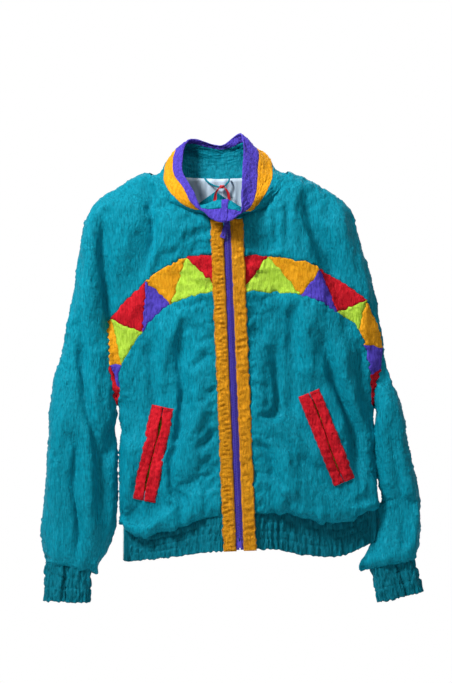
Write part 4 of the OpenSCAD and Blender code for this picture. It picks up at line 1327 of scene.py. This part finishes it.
def build_cuff(k):
    steps = 190
    ang = np.linspace(0, 2 * math.pi, steps, endpoint=False)
    straight = CUFF_W - CUFF_D
    ring = np.stack([np.sign(np.cos(ang)) * straight / 2 * smoothstep(np.abs(np.cos(ang)) * 1.4)
                     + CUFF_D / 2 * np.cos(ang), CUFF_D / 2 * np.sin(ang)], 1)
    valley = 7.0 * np.exp(-((ring[:, 0] + (3 if k == 0 else -8)) / 7) ** 2) * (ring[:, 1] < 0)
    ring[:, 1] += valley
    c, s = math.cos(CUFF_TILT[k]), math.sin(CUFF_TILT[k])

    def place(x, y, z):
        return np.stack([CUFF_AT[k][0] + c * x + s * z, CUFF_AT[k][1] + y, CUFF_AT[k][2] - s * x + c * z], 1)
    top = place(ring[:, 0] * 0.97, ring[:, 1] * 0.95, np.full(steps, CUFF_TUCK))
    low = place(ring[:, 0], ring[:, 1], np.full(steps, -CUFF_H - 1))
    n = horizontal_normals(np.stack([ring[:, 0], ring[:, 1], 0 * ang], 1), True)
    outward = np.stack([c * n[:, 0], n[:, 1], -s * n[:, 0]], 1)
    casing(top, low, outward, "casing_cuff_" + SIDES[k], "forearm_" + SIDES[k], "cuff_" + SIDES[k], 3, 3.6, 40 + k,
           True, 1.1)
    rings = [place(ring[:, 0], ring[:, 1], np.full(steps, z)) - outward * inset
             for z, inset in ((-4.0, 2.2), (4.0 - CUFF_H, 2.2), (4.0 - CUFF_H, 2.9), (-4.0, 2.9))]
    band = make("cuff_elastic_band_" + SIDES[k], np.concatenate(rings),
                grid_faces(4, steps, True) + [(3 * steps + j, 3 * steps + (j + 1) % steps, (j + 1) % steps, j)
                                              for j in range(steps)], ELASTIC, "elastic", "forearm_" + SIDES[k])
    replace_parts(band, "cuff_elastic_" + SIDES[k])


build_hem()
for side_number in (0, 1):
    build_cuff(side_number)

# ---- collar
# Rings of the collar from the neck seam to the free edge; each runs from the front round by the right and back
COLLAR = [
    [(8, -54, -86), (-60, -49, -72), (-104, -35, -45), (-140, -3, -2), (-92, 17, -6), (6, 25, -8), (80, 17, -6),
     (129, -3, 0), (104, -35, -37), (72, -48, -66)],
    [(8, -62, -57), (-50, -62, -66), (-90, -53, -42), (-110, -16, -6), (-94, 22, 34), (0, 34, 24), (84, 24, 34),
     (96, -14, 2), (84, -48, -32), (54, -62, -68)],
    [(6, -78, -52), (-48, -75, -60), (-74, -64, -24), (-92, -30, 8), (-80, 14, 56), (0, 34, 46), (63, 18, 56),
     (67, -30, 4), (62, -60, -42), (43, -77, -68)],
    [(4, -95, -92), (-33, -87, -75), (-54, -70, -32), (-76, -34, 14), (-61, 10, 70), (-4, 28, 60), (37, 12, 80),
     (39, -44, 10), (36, -74, -38), (34, -90, -76)]]


def collar_surface(u, v):
    """Middle surface of the collar; u goes round from the front, v up from the seam."""
    rings = np.stack([along(r, u, True) for r in COLLAR], 1)
    n = len(COLLAR) - 1
    w = np.clip(v, 0, 1) * n
    i = np.minimum(np.floor(w).astype(int), n - 1)
    t = (w - i)[:, None]
    at = np.arange(len(u))
    a, b = rings[at, np.maximum(i - 1, 0)], rings[at, i]
    c, d = rings[at, i + 1], rings[at, np.minimum(i + 2, n)]
    return 0.5 * (2 * b + (c - a) * t + (2 * a - 5 * b + 4 * c - d) * t**2 + (3 * b - a - 3 * c + d) * t**3)


COLLAR_OUT = -1                          # makes the collar's normals point away from the neck


def collar_at(u, v, off):
    u, v = np.ravel(u), np.ravel(v)
    h = 0.004
    du = collar_surface(u + h, v) - collar_surface(u - h, v)
    dv = collar_surface(u, np.minimum(v + h, 1)) - collar_surface(u, np.maximum(v - h, 0))
    n = np.cross(du, dv) * COLLAR_OUT
    n /= np.linalg.norm(n, axis=1)[:, None] + 1e-9
    p = collar_surface(u, v)
    flat = np.stack([np.cos(u * 2 * math.pi) * 75, np.sin(u * 2 * math.pi) * 75, v * 90], 1)
    rumple = 1.1 * field(flat, (34, 34, 30), 71) + 0.9 * creases(flat, (24, 24, 14), 72) \
        + 0.45 * field(flat, (10, 10, 7), 73)
    return p + n * (off + rumple * smoothstep(v / 0.12) * 0.9)[:, None]


def collar_sheet(name, v0, v1, off, material, slot, node, rows=24, u0=0.0, u1=1.0, cols=240, thick=0.9):
    """A layer of the collar between heights v0 and v1, off its middle surface."""
    closed = u1 - u0 > 0.999
    u = np.linspace(u0, u1, cols, endpoint=not closed)
    vv, uu = np.meshgrid(np.linspace(v0, v1, rows), u, indexing="ij")
    piece = make(name, collar_at(uu, vv, off), grid_faces(rows, cols, closed), material, slot, "jacket")
    thicken(piece, thick, 0.0)
    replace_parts(piece, node)


def build_collar():
    collar_sheet("collar_stand_cloth", 0.0, 0.335, 0.8, TEAL, "shell_teal", "collar_stand")
    collar_sheet("collar_stripe_cloth", 0.34, 0.665, 0.8, COLOUR_NYLON["orange"], "shell_orange",
                 "collar_orange_stripe")
    collar_sheet("collar_inner_cloth", 0.0, 0.795, -0.8, TEAL_LINING, "shell_teal", "collar_lining", 44)
    # the binding runs over the free edge and down the inside
    cols = 240
    u = np.linspace(0, 1, cols, endpoint=False)
    rows = [(v, 0.8) for v in np.linspace(0.67, 1, 18)]
    rows += [(1.0, 0.8 - 0.4 * i) for i in (1, 2, 3)]
    rows += [(v, -0.8) for v in np.linspace(1, 0.80, 16)]
    points = np.concatenate([collar_at(u, np.full(cols, v), off) for v, off in rows])
    piece = make("collar_binding_cloth", points, grid_faces(len(rows), cols, True), COLOUR_NYLON["purple"],
                 "shell_purple", "jacket")
    thicken(piece, 0.9, 0.0)
    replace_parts(piece, "collar_purple_binding")
    collar_sheet("collar_zip_strip", 0.42, 0.985, -2.0, COLOUR_NYLON["purple"], "shell_purple", "collar_zip_facing",
                 30, -0.0135, 0.0135, 9, 1.0)


build_collar()


def lining_sheet(name, node, face, x_low, top, material=LINING, slot="lining", gap=22.0, z_low=-628, seed=0):
    """A sheet inside the shell from the line top(u) down to z_low, where it spans x_low."""
    rows, cols = 90, 90
    side = -1 if face == FRONT else 1
    points = []
    for t in (i / (rows - 1) for i in range(rows)):
        blend = float(smoothstep(t * 1.6))
        for u in (j / (cols - 1) for j in range(cols)):
            x_top, z_top = top(u)
            x_end = x_low[0] + (x_low[1] - x_low[0]) * u
            points.append((x_top + (x_end - x_top) * blend, 0, z_top + (z_low - z_top) * t))
    p = np.array(points)
    d = depth(p[:, 0], p[:, 2], face) - gap - 14 * smoothstep((-560 - p[:, 2]) / 70)
    if face == BACK:
        d -= 13 * smoothstep((-42 - p[:, 2]) / 50)
    wave = 1.6 * field(p[:, [0, 2]], (46, 190), 81 + seed) + 0.7 * field(p[:, [0, 2]], (16, 60), 83 + seed)
    p[:, 1] = side * np.maximum(d - np.clip(wave + 1.5, 0, 6), 1.0 + 0.02 * np.abs(p[:, 0]))
    piece = make(name, p, flip_towards(p, grid_faces(rows, cols), (0, -side, 0)), material, slot, "jacket")
    thicken(piece, 0.5)
    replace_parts(piece, node)


def build_lining():
    for k, side in enumerate(SIDES):
        neck = neck_line(NECK_FRONT[k], k)

        def top(u, neck=neck):
            p = neck[min(len(neck) - 1, int(u * (len(neck) - 1)))]
            return p[0] * 0.98, p[1] - 6
        edge = float(placket_edge(k, -600))
        far = float(TORSO_X[k](-640)) * 0.93
        lining_sheet("lining_front_cloth_" + side, "lining_front_" + side, FRONT, (edge, far), top, seed=k)
    lining_sheet("lining_back_cloth", "lining_back", BACK,
                 (float(TORSO_X[0](-640)) * 0.8, float(TORSO_X[1](-640)) * 0.76),
                 lambda u: (-122 + 232 * u, -5 + 5 * abs(2 * u - 1)), gap=6.0, seed=5)
    lining_sheet("neck_facing_cloth", "neck_facing", BACK, (-75, 51),
                 lambda u: (-75 + 126 * u, -28 - 45 * abs(2 * u - 1)), TEAL_LINING, "shell_teal", 11.0, -100, 9)


build_lining()


# ---- zip tapes, and small parts that keep their CAD shape
def build_tapes():
    """The zip's woven tapes, each with a corded edge beside the teeth."""
    for k, side in enumerate(SIDES):
        s = 1 if k == 0 else -1
        rows, cols = 300, 9
        z = np.linspace(0, ZIP_LENGTH + 6, rows)[:, None]
        x = np.array([1.0, 1.6, 2.3, 3.4, 5.2, 7.2, 9.2, 11.0, 12.4])[None, :]
        bead = 0.5 * ((x > 1.5) & (x < 3))
        ripple = 0.12 * np.sin(z / 2.6 + k) + 0.1 * np.sin(z / 7.3 + 2 * k)
        points = zip_space(s * x + 0 * z, 2.5 - bead + ripple * (x > 3), z + 0 * x).reshape(-1, 3)
        faces = flip_towards(points, grid_faces(rows, cols), (0, -1, 0))
        tape = make("zip_tape_weave_" + side, points, faces, TAPE, "zip_tape", "jacket")
        thicken(tape, 0.6)
        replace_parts(tape, "zip_tape_" + side)


build_tapes()
for node in ("zip_top_stops", "zip_retaining_box", "zip_insertion_pin"):
    for cad_slot in frame["nodes"][node].material_slots:
        cad_slot.material = ZIP_PLASTIC

# ---- stage and light
FLOOR_Z = -1.05
floor_mesh = bpy.data.meshes.new("floor")
floor_mesh.from_pydata([(x, y, FLOOR_Z) for x, y in ((-2.5, -2.5), (2.5, -2.5), (2.5, 0.5), (-2.5, 0.5))], [],
                       [(0, 1, 2, 3)])
floor_mesh.materials.append(Nodes("pale_floor").finish((0.6, 0.61, 0.62), Roughness=0.9))
floor = bpy.data.objects.new("floor", floor_mesh)
bpy.context.collection.objects.link(floor)

# a white studio: full white behind the jacket, dimmer towards the front
world = bpy.data.worlds.new("studio")
bpy.context.scene.world = world
world.use_nodes = True
tree = world.node_tree
background = tree.nodes["Background"]
background.inputs["Color"].default_value = (1, 1, 1, 1)
toward, split, ramp = (tree.nodes.new("ShaderNode" + kind) for kind in ("TexCoord", "SeparateXYZ", "MapRange"))
tree.links.new(toward.outputs["Generated"], split.inputs[0])
tree.links.new(split.outputs["Y"], ramp.inputs["Value"])
tree.links.new(ramp.outputs["Result"], background.inputs["Strength"])
for key, value in (("From Min", -0.1), ("From Max", 0.8), ("To Min", 0.035), ("To Max", 1.0)):
    ramp.inputs[key].default_value = value


def area_light(name, place, target, size, power):
    data = bpy.data.lights.new(name, "AREA")
    data.energy, data.size = power, size
    light = bpy.data.objects.new(name, data)
    light.location = place
    light.rotation_euler = (Vector(target) - Vector(place)).to_track_quat("-Z", "Y").to_euler()
    bpy.context.collection.objects.link(light)


area_light("key", (-1.5, -1.5, 1.7), (0, 0, -0.3), 0.6, 120)
area_light("top", (0.9, -0.9, 1.9), (0, 0, -0.2), 0.9, 18)
area_light("back", (0.5, 2.2, 1.2), (0, 0, -0.3), 1.6, 26)
bpy.context.scene.view_settings.view_transform = "Standard"
bpy.context.scene.view_settings.look = "None"

bpy.context.view_layer.update()
